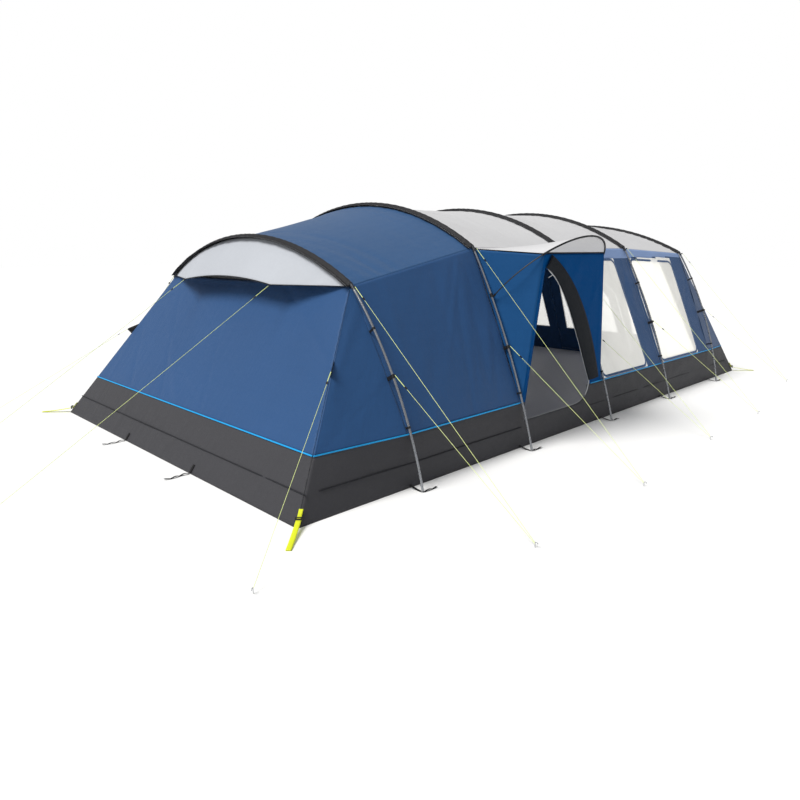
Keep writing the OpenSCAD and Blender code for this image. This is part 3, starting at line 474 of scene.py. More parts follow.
# guy lines, before anything else that shows
guyLook = {
    "thick": 0.003,
    "sag": 0.006,  # at the middle, for each 3 m
    "steps": 18,
    "runnerAt": (0.130, 0.140, 0.140, 0.140, 0.140, 0.140, 0.140, 0.140, 0.140, 0.140, 0.110, 0.150),
    "doubleGap": 0.007,
}
guyRoutes = [
    ((-2.720, -1.435, 1.385), (-2.880, -3.150, 0.027)), ((-2.720, -1.8478, 0.7924), (-2.880, -3.150, 0.020)),
    ((-1.390, -1.475, 1.655), (-1.510, -3.150, 0.027)), ((-1.390, -1.8608, 0.860), (-1.510, -3.150, 0.020)),
    ((-0.010, -1.475, 1.655), (0.020, -3.050, 0.027)), ((-0.010, -1.8608, 0.860), (0.020, -3.050, 0.020)),
    ((1.340, -1.475, 1.655), (1.300, -3.050, 0.027)), ((1.340, -1.8608, 0.860), (1.300, -3.050, 0.020)),
    ((2.750, -1.535, 1.595), (3.330, -2.770, 0.027)), ((2.750, -1.8894, 0.8999), (3.330, -2.770, 0.020)),
    ((-3.150, -1.674, 0.850), (-4.290, -2.460, 0.024)), ((-2.975, -0.700, 1.372), (-5.090, -0.630, 0.024)),
]
guyNames = ["rearHoopTop", "rearHoopMid", "secondHoopTop", "secondHoopMid", "thirdHoopTop", "thirdHoopMid",
            "fourthHoopTop", "fourthHoopMid", "frontHoopTop", "frontHoopMid", "corner", "hood"]


def curveThrough(name, points, radius, material):
    data = bpy.data.curves.new(name, "CURVE")
    data.dimensions = "3D"
    data.bevel_depth = radius
    data.bevel_resolution = 2
    data.use_fill_caps = True
    line = data.splines.new("POLY")
    line.points.add(len(points) - 1)
    for point, place in zip(line.points, points):
        point.co = (*place, 1)
    data.materials.append(finish[material])
    made = bpy.data.objects.new(name, data)
    scene.collection.objects.link(made)
    return made


def mirrored(place, side):
    return Vector((place[0], place[1] * -side, place[2]))


def turnedTo(direction):
    # rotation that takes +Z along direction
    return Vector(direction).to_track_quat("Z", "Y").to_matrix().to_4x4()


def plateMesh(outline, holes, thick, bevel):
    # a flat plate with rounded edges, drawn as a filled curve and made a mesh
    data = bpy.data.curves.new("plate", "CURVE")
    data.dimensions = "2D"
    data.fill_mode = "BOTH"
    data.extrude = thick / 2 - bevel
    data.bevel_depth = bevel
    data.bevel_resolution = 1
    for ring in [outline, *holes]:
        line = data.splines.new("POLY")
        line.points.add(len(ring) - 1)
        line.use_cyclic_u = True
        for point, place in zip(line.points, ring):
            point.co = (place[0], place[1], 0, 1)
    maker = bpy.data.objects.new("plate", data)
    scene.collection.objects.link(maker)
    bpy.context.view_layer.update()
    mesh = bpy.data.meshes.new_from_object(maker.evaluated_get(bpy.context.evaluated_depsgraph_get()))
    bpy.data.objects.remove(maker)
    return mesh


def ringOf(cx, cy, radius, count=14, stretch=1.0):
    return [(cx + radius * math.cos(2 * math.pi * k / count),
             cy + radius * stretch * math.sin(2 * math.pi * k / count))
            for k in range(count)]


def copies(name, mesh, matrices, material):
    # one mesh that holds a copy of a shape at each matrix
    bm = bmesh.new()
    for matrix in matrices:
        one = bmesh.new()
        one.from_mesh(mesh)
        one.transform(matrix)
        part = bpy.data.meshes.new("part")
        one.to_mesh(part)
        one.free()
        bm.from_mesh(part)
        bpy.data.meshes.remove(part)
    bmesh.ops.remove_doubles(bm, verts=bm.verts, dist=1e-6)
    bmesh.ops.recalc_face_normals(bm, faces=bm.faces)
    data = bpy.data.meshes.new(name)
    bm.to_mesh(data)
    bm.free()
    data.materials.clear()
    data.materials.append(finish[material])
    made = bpy.data.objects.new(name, data)
    scene.collection.objects.link(made)
    return made


def makeRunners():
    # a rounded tensioner with three line holes
    outline = [(0.0075 * math.cos(t) * (1.0 - 0.18 * math.sin(t)), 0.0135 * math.sin(t))
               for t in np.linspace(0, 2 * math.pi, 20, endpoint=False)]
    shape = plateMesh(outline, [ringOf(0, y, 0.0019, 8) for y in (-0.008, 0.0, 0.008)], 0.0055, 0.0011)
    stand = Matrix.Rotation(math.radians(90), 4, "X")
    spots = {1: [], -1: []}
    for side in (1, -1):
        for (hook, peg), gap in zip(guyRoutes, guyLook["runnerAt"]):
            start, end = mirrored(hook, -side), mirrored(peg, -side)
            way = (end - start).normalized()
            spots[side].append(Matrix.Translation(start + way * gap) @ turnedTo(way) @ stand)
    made = copies("guyRunners", shape, spots[1] + spots[-1], "plasticBlack")
    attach(made, shell)
    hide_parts("guy_runners")


def makeGuys():
    for side, sideName, node in ((1, "Near", "near_guys"), (-1, "Far", "far_guys")):
        for k, (hook, peg) in enumerate(guyRoutes):
            start, end = mirrored(hook, -side), mirrored(peg, -side)
            way = (end - start).normalized()
            flatWay = math.hypot(way.x, way.y)
            end = end - way * (0.0025 + guyLook["thick"] / 2 * abs(way.z) + 0.0002) / flatWay
            long = (end - start).length
            sag = guyLook["sag"] * (long / 3) ** 2
            points = []
            for t in np.linspace(0, 1, guyLook["steps"]):
                points.append(start.lerp(end, t) - Vector((0, 0, sag * 4 * t * (1 - t))))
            line = curveThrough(f"guy{sideName}_{guyNames[k]}", points, guyLook["thick"] / 2, "guyGreen")
            beside = way.cross(Vector((0, 0, 1))).normalized() * guyLook["doubleGap"] * 0.5
            gap = guyLook["runnerAt"][k]
            second = [start + beside * 0.6, start + way * gap * 0.4 + beside, start + way * (gap - 0.012) + beside,
                      start + way * (gap + 0.012)]
            strand = curveThrough(f"guy{sideName}_{guyNames[k]}_return", second, guyLook["thick"] / 2 * 0.95,
                                  "guyGreen")
            for piece in (line, strand):
                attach(piece, shell)
                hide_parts(node)


makeRunners()
makeGuys()
print("guy lines laid:", 2 * len(guyRoutes))

# roof and side walls
roofLook = {"folds": 16, "depth": 0.0035, "step": 0.02}
roofNames = ["roofRear", "roofPorch", "roofMiddle", "roofFront"]


def makeRoofs():
    for k in range(4):
        long = hoopX[k + 1] - hoopX[k]
        wide = 2 * arcs[k][0] * arcs[k][2]
        u, s = np.meshgrid(np.linspace(0.0005, 0.9995, spaced(long, roofLook["step"]) + 1),
                           np.linspace(-1, 1, spaced(wide, roofLook["step"]) + 1), indexing="ij")
        points = roofSurface(k, u, s)
        across, up = u * long, (s + 1) * wide / 2
        lift = softFolds(11 + k, across, up, roofLook["folds"], roofLook["depth"], math.pi / 2, 0.35)
        nearHoop = np.exp(-(np.minimum(across, long - across) / 0.12) ** 2)
        gather = np.sin(up * 52 + 2 * np.sin(up * 7 + k)) * nearHoop * 0.0016  # puckers along each sleeve
        edge = np.clip(np.minimum(across, long - across) / 0.02, 0, 1)
        points = points + gridNormals(points) * (lift + gather * edge)[..., None] * -1
        made = gridSheet(roofNames[k], points, "roofBlue" if k == 0 else "roofWhite", (0, 0, 1))
        pinned(made, [f"roof_{k + 1}"], flat=(long * 1.02, wide * 1.01))


wallLook = {"folds": 18, "depth": 0.0045, "step": 0.018}
windowPlan = {"sill": 0.397, "head": 1.550, "before": 0.310, "after": 0.050, "binding": 0.024}
clipUp = [(1.100, 0.780, 0.440), (1.280, 0.850, 0.477), (1.280, 0.850, 0.477), (1.280, 0.850, 0.477),
          (1.285, 0.890, 0.479)]


def wallGrid(k, side, u0, u1, seed, step, lines=(), levels=()):
    # lines are u places and levels are heights that must fall on grid lines
    long = hoopX[k + 1] - hoopX[k]
    tall = shoulders[k][1] - plan["skirtUp"]
    us, vs = [], []
    stops = [u0, *[p for p in lines if u0 < p < u1], u1]
    for a, b in zip(stops, stops[1:]):
        us += list(np.linspace(a, b, spaced((b - a) * long, step), endpoint=False))
    us.append(u1)
    marks = [0.0, *[(z - plan["skirtUp"]) / tall for z in levels], 0.9998]
    for a, b in zip(marks, marks[1:]):
        vs += list(np.linspace(a, b, max(1, spaced((b - a) * tall, step)), endpoint=False))
    vs.append(0.9998)
    u, v = np.meshgrid(us, vs, indexing="ij")
    points = wallSurface(k, u, v, side)
    across, up = u * long, v * tall
    lift = softFolds(seed, across, up, wallLook["folds"], wallLook["depth"], math.pi / 2 - 0.15, 0.5)
    for hoop, place in ((k, 0.0), (k + 1, long)):
        beside = np.exp(-(np.abs(across - place) / 0.22) ** 2)
        pulls = sum(np.exp(-((up + plan["skirtUp"] - z) / 0.09) ** 2) for z in clipUp[hoop])
        lift = lift - 0.006 * beside * (1 - np.clip(pulls, 0, 1)) * np.clip(v * 6, 0, 1) * np.clip((1 - v) * 6, 0, 1)
    normals = gridNormals(points)
    turn = np.sign(np.mean(normals[..., 1]) * side)
    return u, v, points + normals * turn * lift[..., None]


def makeWalls():
    cheek = 0.014
    for side, sideName in ((-1, "near"), (1, "far")):
        for k in range(4):
            if side < 0 and k == 1:
                continue  # the porch fills this bay
            long = hoopX[k + 1] - hoopX[k]
            u0, u1 = 0.0003, 0.9997
            if side < 0 and k == 0:
                u1 = 1 + (cheek - 0.0004) / long
            if side < 0 and k == 2:
                u0 = -(cheek - 0.0004) / long
            name = f"{sideName}Wall{k + 1}"
            if k < 2:
                _, _, points = wallGrid(k, side, u0, u1, 31 + k - side, wallLook["step"])
                made = gridSheet(name, points, "flyBlue", (0, side, 0.3))
                nodes = ["near_wall_1"] if side < 0 else ["far_plain_walls"]
                pinned(made, nodes, flat=(long * 1.03, 1.45))
                continue
            ua, ub = windowPlan["after"] / long, 1 - windowPlan["before"] / long
            u, _, points = wallGrid(k, side, u0, u1, 41 + k - side, wallLook["step"], (ua, ub),
                                    (windowPlan["sill"], windowPlan["head"]))
            middleU = (u[:-1, :-1] + u[1:, 1:]) / 2
            middleZ = (points[:-1, :-1, 2] + points[1:, 1:, 2]) / 2
            inside = (middleU > ua) & (middleU < ub) & (middleZ > windowPlan["sill"]) & (middleZ < windowPlan["head"])
            made = gridSheet(name, points, "flyBlue", (0, side, 0.3), holes=inside)
            pinned(made, ["near_window_walls" if side < 0 else "far_window_walls"],
                   flat=(long * 1.03, 1.45))
            pane = gridSheet(f"{sideName}Window{k - 1}", points - np.array([0, side * 0.0005, 0]), "windowFilm",
                             (0, side, 0.3), thick=0.0005, holes=~inside)
            loose = bmesh.new()
            loose.from_mesh(pane.data)
            bmesh.ops.delete(loose, geom=[p for p in loose.verts if not p.link_faces], context="VERTS")
            loose.to_mesh(pane.data)
            loose.free()
            pinned(pane, ["near_windows" if side < 0 else "far_windows"],
                   flat=(long - windowPlan["before"] - windowPlan["after"] + 0.03, 1.28))
            frameWindow(k, side, ua, ub)
            paintEave(made)


def frameWindow(k, side, ua, ub):
    # binding round a window, laid on the wall
    long = hoopX[k + 1] - hoopX[k]
    tall = shoulders[k][1] - plan["skirtUp"]
    wide = windowPlan["binding"]
    corner = 0.07
    a, b = ua * long + wide / 2, ub * long - wide / 2
    low, high = windowPlan["sill"] - plan["skirtUp"] + wide / 2 + 0.004, windowPlan["head"] - plan["skirtUp"] - wide / 2
    path = []
    for cx, cy, start in ((b - corner, low + corner, -90), (b - corner, high - corner, 0),
                          (a + corner, high - corner, 90), (a + corner, low + corner, 180)):
        for step in range(7):
            angle = math.radians(start + step * 15)
            path.append((cx + corner * math.cos(angle), cy + corner * math.sin(angle)))
    path = fineLoop(path, 0.03)
    flat = np.array(path)
    inward = loopNormals(flat)
    rows = []
    for shift in (-0.5, -0.2, 0.2, 0.5):
        spot = flat + inward * shift * wide
        here = wallSurface(k, spot[:, 0] / long, np.clip(spot[:, 1] / tall, 0, 1), side)
        lift = 0.0042 if abs(shift) < 0.4 else 0.0028
        here[:, 1] += side * lift
        rows.append(here)
    grid = np.stack(rows, 1)
    grid = np.concatenate([grid, grid[:1]], 0)
    made = gridSheet(f"{'near' if side < 0 else 'far'}WindowBinding{k - 1}", grid,
                     "bindingBlack" if k < 2 else "flyBlue", (0, side, 0.3), thick=0.0015)
    dressed(made)
    for row in (1, 2):
        seamRows.append((grid[:, row] + np.array([0, side * 0.0006, 0]), (0, side, 0.2), "threadPale", shell))


def fineLoop(points, step):
    fine = []
    for a, b in zip(points, points[1:] + points[:1]):
        count = max(1, int(math.dist(a, b) / step))
        fine += [(mix(a[0], b[0], t / count), mix(a[1], b[1], t / count)) for t in range(count)]
    return fine


def loopNormals(flat):
    ahead = np.roll(flat, -1, 0) - np.roll(flat, 1, 0)
    ahead /= np.linalg.norm(ahead, axis=1, keepdims=True)
    return np.stack([-ahead[:, 1], ahead[:, 0]], 1)


def paintEave(made):
    # the top band of a window bay is a paler cloth
    made.data.materials.append(finish["eaveBlue"])
    for face in made.data.polygons:
        if face.center.z > windowPlan["head"] + 0.004:
            face.material_index = 1


seamRows = []  # (points, outward direction, thread, body) for the stitches
makeRoofs()
makeWalls()
print("roofs and side walls made")

# sloping ends
endLook = {"folds": 22, "depth": 0.005, "step": 0.022}
gussetTop = 0.985


def makeGussets():
    for end, k, sign in (("rear", 0, -1), ("front", 4, 1)):
        share = plan["cornerSkirt"] / shoulders[k][1]
        for side, sideName in ((-1, "Near"), (1, "Far")):
            v, u = np.meshgrid(np.linspace(0, gussetTop, 72), np.linspace(0, 0.9997, 46), indexing="ij")
            y, z = wallLine(k, v)
            sx, sy, sz = cornerSeam(end, mix(share + 0.0003, 1, v))
            points = np.stack([mix(sx, hoopX[k] + sign * plan["seam"], u), side * mix(sy, y, u), mix(sz, z, u)], -1)
            wide = np.abs(hoopX[k] - sx)
            across, up = u * wide, v * 1.3
            lift = softFolds(60 + k + side, across, up, 10, 0.004, 1.1, 0.4) * np.clip((1 - v) * 4, 0, 1)
            facing = np.array([sign * 0.3, side, 0.3])
            normals = gridNormals(points)
            normals *= np.sign(np.mean(normals @ facing))
            made = gridSheet(f"{end}Gusset{sideName}", points + normals * lift[..., None], "flyBlue", facing)
            pinned(made, [f"{end}_gussets"], flat=(1.15, 1.5))
            seamRows.append((points[:, 1] + normals[:, 1] * 0.001, (0, side, 0.3), "threadDark", shell))


def bezier(points, count):
    p = np.array(points, float)
    t = np.linspace(0, 1, count + 1)[:, None]
    return ((1 - t) ** 3 * p[0] + 3 * (1 - t) ** 2 * t * p[1] + 3 * (1 - t) * t * t * p[2] + t ** 3 * p[3]).tolist()


def insideLoop(loop, spots):
    x, y = spots[:, 0], spots[:, 1]
    hit = np.zeros(len(spots), bool)
    for (x0, y0), (x1, y1) in zip(loop, loop[1:] + loop[:1]):
        if y0 != y1:
            crosses = (y0 > y) != (y1 > y)
            hit ^= crosses & (x < (x1 - x0) * (y - y0) / (y1 - y0) + x0)
    return hit


def edgeGap(loops, spots):
    best = np.full(len(spots), 9.0)
    for loop in loops:
        for a, b in zip(loop, loop[1:] + loop[:1]):
            a, b = np.array(a), np.array(b)
            run = b - a
            t = np.clip(((spots - a) @ run) / max(run @ run, 1e-12), 0, 1)
            best = np.minimum(best, np.linalg.norm(spots - (a + t[:, None] * run), axis=1))
    return best


def stepOn(place, end, start):
    # the way that a step from start to end, each (across, up, lift), takes on a placed panel
    return place(*np.array([end]).T)[0] - place(*np.array([start]).T)[0]


def flatSheet(name, outline, holes, place, material, step, seed, folds, depth, thick=clothThick, lean=0.6):
    # cloth cut to an outline with holes; place(across, up, lift) gives points in space
    loops = [fineLoop([tuple(p) for p in ring], step) for ring in [outline, *holes]]
    flat = np.array(loops[0])
    gx, gy = np.meshgrid(np.arange(flat[:, 0].min(), flat[:, 0].max(), step),
                         np.arange(flat[:, 1].min(), flat[:, 1].max(), step), indexing="ij")
    inner = np.stack([gx.ravel(), gy.ravel()], 1)
    keep = insideLoop(loops[0], inner)
    for ring in loops[1:]:
        keep &= ~insideLoop(ring, inner)
    inner = inner[keep]
    inner = inner[edgeGap(loops, inner) > step * 0.45]
    edges, start = [], 0
    spots = []
    for ring in loops:
        count = len(ring)
        edges += [(start + j, start + (j + 1) % count) for j in range(count)]
        spots += ring
        start += count
    spots = np.concatenate([np.array(spots), inner])
    verts, _, faces, *_ = geometry.delaunay_2d_cdt([Vector(p) for p in spots], edges, [], 0, 1e-6)
    flat = np.array([tuple(v) for v in verts])
    tris = np.array([list(f) for f in faces])
    centre = flat[tris].mean(1)
    good = insideLoop(loops[0], centre)
    for ring in loops[1:]:
        good &= ~insideLoop(ring, centre)
    tris = tris[good]
    a, b, c = flat[tris[:, 0]], flat[tris[:, 1]], flat[tris[:, 2]]
    cross = (b[:, 0] - a[:, 0]) * (c[:, 1] - a[:, 1]) - (b[:, 1] - a[:, 1]) * (c[:, 0] - a[:, 0])
    tris[cross < 0] = tris[cross < 0][:, ::-1]
    lift = softFolds(seed, flat[:, 0], flat[:, 1], folds, depth, lean, 0.6)
    lift = lift * np.clip(edgeGap(loops, flat) / 0.06, 0, 1)
    points = place(flat[:, 0], flat[:, 1], lift)
    p, q, r = points[tris[:, 0]], points[tris[:, 1]], points[tris[:, 2]]
    outward = stepOn(place, (*flat[0], 1.0), (*flat[0], 0.0))
    if float(np.mean(np.cross(q - p, r - p) @ outward)) < 0:
        tris = tris[:, ::-1]
    return meshObject(name, points, tris.tolist(), flat, material, thick)


def endPlane(end):
    # place on an end's slope: across is y, up is the slant height
    k = 0 if end == "rear" else 4
    x0, sign = (rearX, 1) if end == "rear" else (frontX, -1)
    slope = math.atan2(abs(hoopX[k] - x0), shoulders[k][1])

    def place(across, up, lift):
        return np.stack([x0 + sign * (up * math.sin(slope) - lift * math.cos(slope)), across,
                         up * math.cos(slope) + lift * math.sin(slope)], -1)
    return place, math.hypot(hoopX[k] - x0, shoulders[k][1]), shoulders[k][0]


def endBand(full, topOut, low, high, inset=0.0042):
    a = mix(halfWidth, topOut, low / full) - inset
    b = mix(halfWidth, topOut, high / full) - inset
    return [(-a, low), (a, low), (b, high), (-b, high)]


zipTape = {
    "frontWide": 0.026,
    "frontLift": 0.0024,
    "porchWide": 0.022,
    "porchLift": 0.0060,
    "leafWide": 0.020,
    "leafLift": 0.0018,
}
frontDoor = {
    "hinge": [(0.700, 0.040), (0.590, 1.420)],
    "gap": 0.008,
    "hingeGap": 0.0006,
    "pane": [(0.500, 0.470), (0.430, 1.290), (-0.250, 1.290), (-0.360, 1.100), (-0.390, 0.470)],
}
frontDoorOutline = frontDoor["hinge"] \
    + bezier([(0.500, 1.470), (0.200, 1.540), (-0.330, 1.500), (-0.480, 1.180)], 10) \
    + bezier([(-0.500, 0.900), (-0.520, 0.600), (-0.540, 0.400), (-0.540, 0.160)], 4) \
    + bezier([(-0.535, 0.120), (-0.525, 0.060), (-0.490, 0.040), (-0.440, 0.040)], 5)


def hung(outline, a, b, side, gap, hingeGap):
    # a door's own outline, a little smaller than its opening
    p, a, b = np.array(outline), np.array(a), np.array(b)
    d = (b - a) / np.linalg.norm(b - a)
    mid = (a + b) / 2
    reach = np.linalg.norm(p - mid, axis=1).max()
    return (mid + (p - mid) * (1 - gap / reach) + np.array([d[1], -d[0]]) * side * hingeGap).tolist()


def strap(name, path, wide, lift, material, thick=0.0015, closed=False, body=shell, stitches=None, place=None):
    # a tape of one width laid along a path on a flat panel
    flat = np.array(fineLoop(path, 0.03) if closed else finePath(path, 0.03))
    if closed:
        side = loopNormals(flat)
    else:
        ahead = np.gradient(flat, axis=0)
        ahead /= np.linalg.norm(ahead, axis=1, keepdims=True)
        side = np.stack([-ahead[:, 1], ahead[:, 0]], 1)
    rows = [place(flat[:, 0] + side[:, 0] * s * wide, flat[:, 1] + side[:, 1] * s * wide,
                  np.full(len(flat), lift * (1.0 if abs(s) < 0.45 else 0.7))) for s in (-0.5, -0.3, 0.0, 0.3, 0.5)]
    grid = np.stack(rows, 1)
    if closed:
        grid = np.concatenate([grid, grid[:1]], 0)
    outward = stepOn(place, (*flat[0], 1.0), (*flat[0], 0.0))
    made = dressed(gridSheet(name, grid, material, outward, thick=thick), body)
    if stitches:
        for row in (1, 3):
            seamRows.append((grid[:, row] + outward * 0.0006, outward, stitches, body))
    return made


def finePath(points, step):
    fine = []
    for a, b in zip(points, points[1:]):
        count = max(1, int(math.dist(a, b) / step))
        fine += [(mix(a[0], b[0], t / count), mix(a[1], b[1], t / count)) for t in range(count)]
    return fine + [tuple(points[-1])]


def makeEnds():
    place, full, topOut = endPlane("rear")
    skirtTop = full * plan["cornerSkirt"] / shoulders[0][1]
    wall = flatSheet("rearWall", endBand(full, topOut, skirtTop + 0.0003, full - 0.001), [], place, "flyBlue",
                     endLook["step"], 71, endLook["folds"], endLook["depth"])
    pinned(wall, ["rear_wall"], flat=(2 * halfWidth, full))
    low = flatSheet("rearSkirt", endBand(full, topOut, 0.0015, skirtTop), [], place, "skirtGrey", 0.025, 72, 14,
                    0.004, lean=0.1)
    pinned(low, ["skirt_rear"], flat=(2 * halfWidth, skirtTop + 0.01))
    strap("rearSkirtFold", [(-1.94, skirtTop * 0.46), (1.94, skirtTop * 0.46)], 0.010, 0.0046, "seamGrey",
          place=place, stitches="threadDark")

    place, full, topOut = endPlane("front")
    skirtTop = full * plan["cornerSkirt"] / shoulders[4][1]
    near = [(-0.620, 0.470), (-(halfWidth - 0.410), 0.470), (-(topOut - 0.300), full - 0.190), (-0.620, full - 0.190)]
    far = [(0.820, 0.470), (halfWidth - 0.410, 0.470), (topOut - 0.300, full - 0.190), (0.760, full - 0.190)]
    wall = flatSheet("frontWall", endBand(full, topOut, 0.0015, full - 0.001), [frontDoorOutline, near, far], place,
                     "flyBlue", endLook["step"], 73, 10, 0.002)
    pinned(wall, ["front_wall"], flat=(2 * halfWidth, full))
    low = flatSheet("frontSkirt", endBand(full, topOut, 0.0015, skirtTop), [frontDoorOutline], place, "skirtGrey",
                    0.03, 74, 8, 0.001, thick=0.0008)
    low.data.transform(Matrix.Translation((0.0022, 0, 0.0012)))
    pinned(low, ["skirt_front"], flat=(2 * halfWidth, skirtTop + 0.01))
    for name, ring in (("frontWindowNear", near), ("frontWindowFar", far)):
        pane = flatSheet(name, ring, [], lambda a, b, c: place(a, b, c - 0.0006), "windowFilm", 0.04, 75, 6, 0.003,
                         thick=0.0005)
        xs, ys = [p[0] for p in ring], [p[1] for p in ring]
        pinned(pane, ["front_windows"], flat=(max(xs) - min(xs), max(ys) - min(ys)))
        strap(name + "Binding", ring, 0.024, 0.0026, "flyBlue", closed=True, place=place,
              stitches="threadDark")
    leaf = hung(frontDoorOutline, *frontDoor["hinge"], -1, frontDoor["gap"], frontDoor["hingeGap"])
    door = flatSheet("frontDoorLeaf", leaf, [frontDoor["pane"]], place, "flyBlue", 0.025, 76, 8, 0.002)
    pinned(door, ["front_door"], body="front_door_panel", flat=(1.26, 1.50))
    glass = flatSheet("frontDoorFilm", frontDoor["pane"], [], lambda a, b, c: place(a, b, c - 0.0006), "windowFilm",
                      0.04, 77, 6, 0.003, thick=0.0005)
    pinned(glass, ["front_door_window"], body="front_door_panel", flat=(0.92, 0.83))
    strap("frontDoorFilmBinding", frontDoor["pane"], 0.024, 0.0026, "flyBlue", closed=True,
          body="front_door_panel", place=place, stitches="threadDark")
    ring = frontDoorOutline[1:] + frontDoorOutline[:1]  # leaves out the sewn side, where the leaf turns
    grown = [(p[0] * 1.022 - 0.0018, p[1] * 1.012 - 0.006) for p in ring]
    zipRows.append((place(*np.array(grown).T, np.full(len(grown), 0.003)), (0.85, 0, 0.5), shell))
    strap("frontZipTape", grown, zipTape["frontWide"], zipTape["frontLift"], "zipGrey", place=place,
          stitches="threadDark")
    for side in (-1, 1):  # slanting zip flaps that run beside the corner seams
        path = [(side * (halfWidth - 0.33), 0.46), (side * (topOut - 0.22), full - 0.13)]
        strap(f"frontSideFlap{'Near' if side < 0 else 'Far'}", path, 0.115, 0.0034, "flapNavy",
              place=place, stitches="threadDark")


def hoodSurface(end, k, s):
    # k from the hoop to the free edge, s from -1 to 1 across
    hoop = 0 if end == "rear" else 4
    away = -1 if end == "rear" else 1
    top = shoulders[hoop]
    radius, centre, turn = flyRadius[hoop], arcs[hoop][1], arcs[hoop][2]
    side = np.abs(s)
    outer = side > 0.5
    ko, ki = (1 - side) / 0.5, side / 0.5
    ex = np.where(outer, hoodLook["reach"] * ko, hoodLook["reach"] - 0.012 * (1 - ki ** 2))
    ey = np.where(outer, np.sign(s) * mix(top[0], hoodLook["cornerOut"], ko), hoodLook["cornerOut"] * s / 0.5)
    ez = np.where(outer, top[1] - hoodLook["drop"] * ko, top[1] - hoodLook["drop"] + hoodLook["rise"] * (1 - ki ** 2))
    hx, hy, hz = plan["seam"], radius * np.sin(turn * s), centre + radius * np.cos(turn * s)
    puff = 0.030 * k * (1 - k) * (1 - s * s)
    return np.stack([hoopX[hoop] + away * (mix(hx, ex, k) + puff), mix(hy, ey, k), mix(hz, ez, k) + puff], -1)


hoodLook = {"reach": 0.243, "cornerOut": 0.700, "drop": 0.010, "rise": 0.047, "folds": 14, "depth": 0.0025}


def makeHoods():
    for end, away, hoop in (("rear", -1, 1), ("front", 1, 5)):
        k, s = np.meshgrid(np.linspace(0, 1, 22), np.linspace(-0.985, 0.985, 161), indexing="ij")
        points = hoodSurface(end, k, s)
        lift = softFolds(91 + hoop, s * 1.4, k * 0.3, hoodLook["folds"], hoodLook["depth"], math.pi / 2, 0.5, 0.03)
        lift = lift + 0.0014 * np.sin(s * 70) * np.exp(-(k / 0.25) ** 2) * np.clip(k / 0.05, 0, 1)
        normals = gridNormals(points)
        normals *= np.sign(np.mean(normals[..., 2]))
        points = points + normals * lift[..., None]
        # the hood cloth is a darker copy of the roof white, which is painted shade
        made = gridSheet(f"{end}Hood", points, "hoodShadedWhite", (away, 0, 1))
        pinned(made, [f"{end}_hood"], flat=(2.95, 0.55))
        rows = np.stack([points[-1] + normals[-1] * 0.0014,
                         points[-2] * 0.45 + points[-1] * 0.55 + normals[-2] * 0.0014],
                        0)
        hem = gridSheet(f"{end}HoodHem", rows, "bindingBlack", (away, 0, 1), thick=0.0028)
        dressed(hem)
        seamRows.append((points[-2] + normals[-2] * 0.002, (away * 0.5, 0, 1), "threadPale", shell))


def makeVents():
    for end, hoop in (("Rear", 0), ("Front", 4)):
        centre = arcs[hoop][1]
        radius = flyRadius[hoop] - 0.003
        low = shoulders[hoop][1]
        half = math.acos(min(1, (low - centre) / radius))
        s = np.linspace(-half, half, 60)
        top = np.stack([np.full(60, 0.0), radius * np.sin(s), centre + radius * np.cos(s)], -1)
        foot = top.copy()
        foot[:, 2] = low
        grid = np.stack([mix(foot, top, t) for t in np.linspace(0, 1, 12)], 1)
        grid[..., 0] = hoopX[hoop] + (0.0035 if hoop == 0 else -0.0035)
        made = gridSheet(f"vent{end}", grid, "insectMesh", (-1 if hoop == 0 else 1, 0, 0), thick=0.0006)
        pinned(made, ["vent_mesh"], flat=(2 * radius * math.sin(half), 0.38))


zipRows = []  # (points, outward direction, body) for the zip teeth
makeGussets()
makeEnds()
makeHoods()
makeVents()
print("ends, hoods and front door made")

# skirt, piping and floor
skirtLook = {"step": 0.03, "depth": 0.0035}
porch = {
    "mid": (hoopX[1] + hoopX[2]) / 2,
    "footOut": 1.675,
    "footUp": 1.270,
    "topHalf": 0.488,
    "inset": 0.025,
    "sill": 0.230,
    "hinge": [(0.055, 0.230), (0.226, 1.500)],
    "gap": 0.008,
    "hingeGap": 0.0006,
    "cheek": 0.014,
}
bay = hoopX[2] - hoopX[1]
archRadius = bay / 2
sideDoorOutline = [porch["hinge"][0]] \
    + bezier([(0.840, 0.230), (1.000, 0.230), (1.085, 0.260), (1.111, 0.410)], 6) \
    + bezier([(1.108, 0.430), (0.800, 0.900), (0.520, 1.420), porch["hinge"][1]], 14)


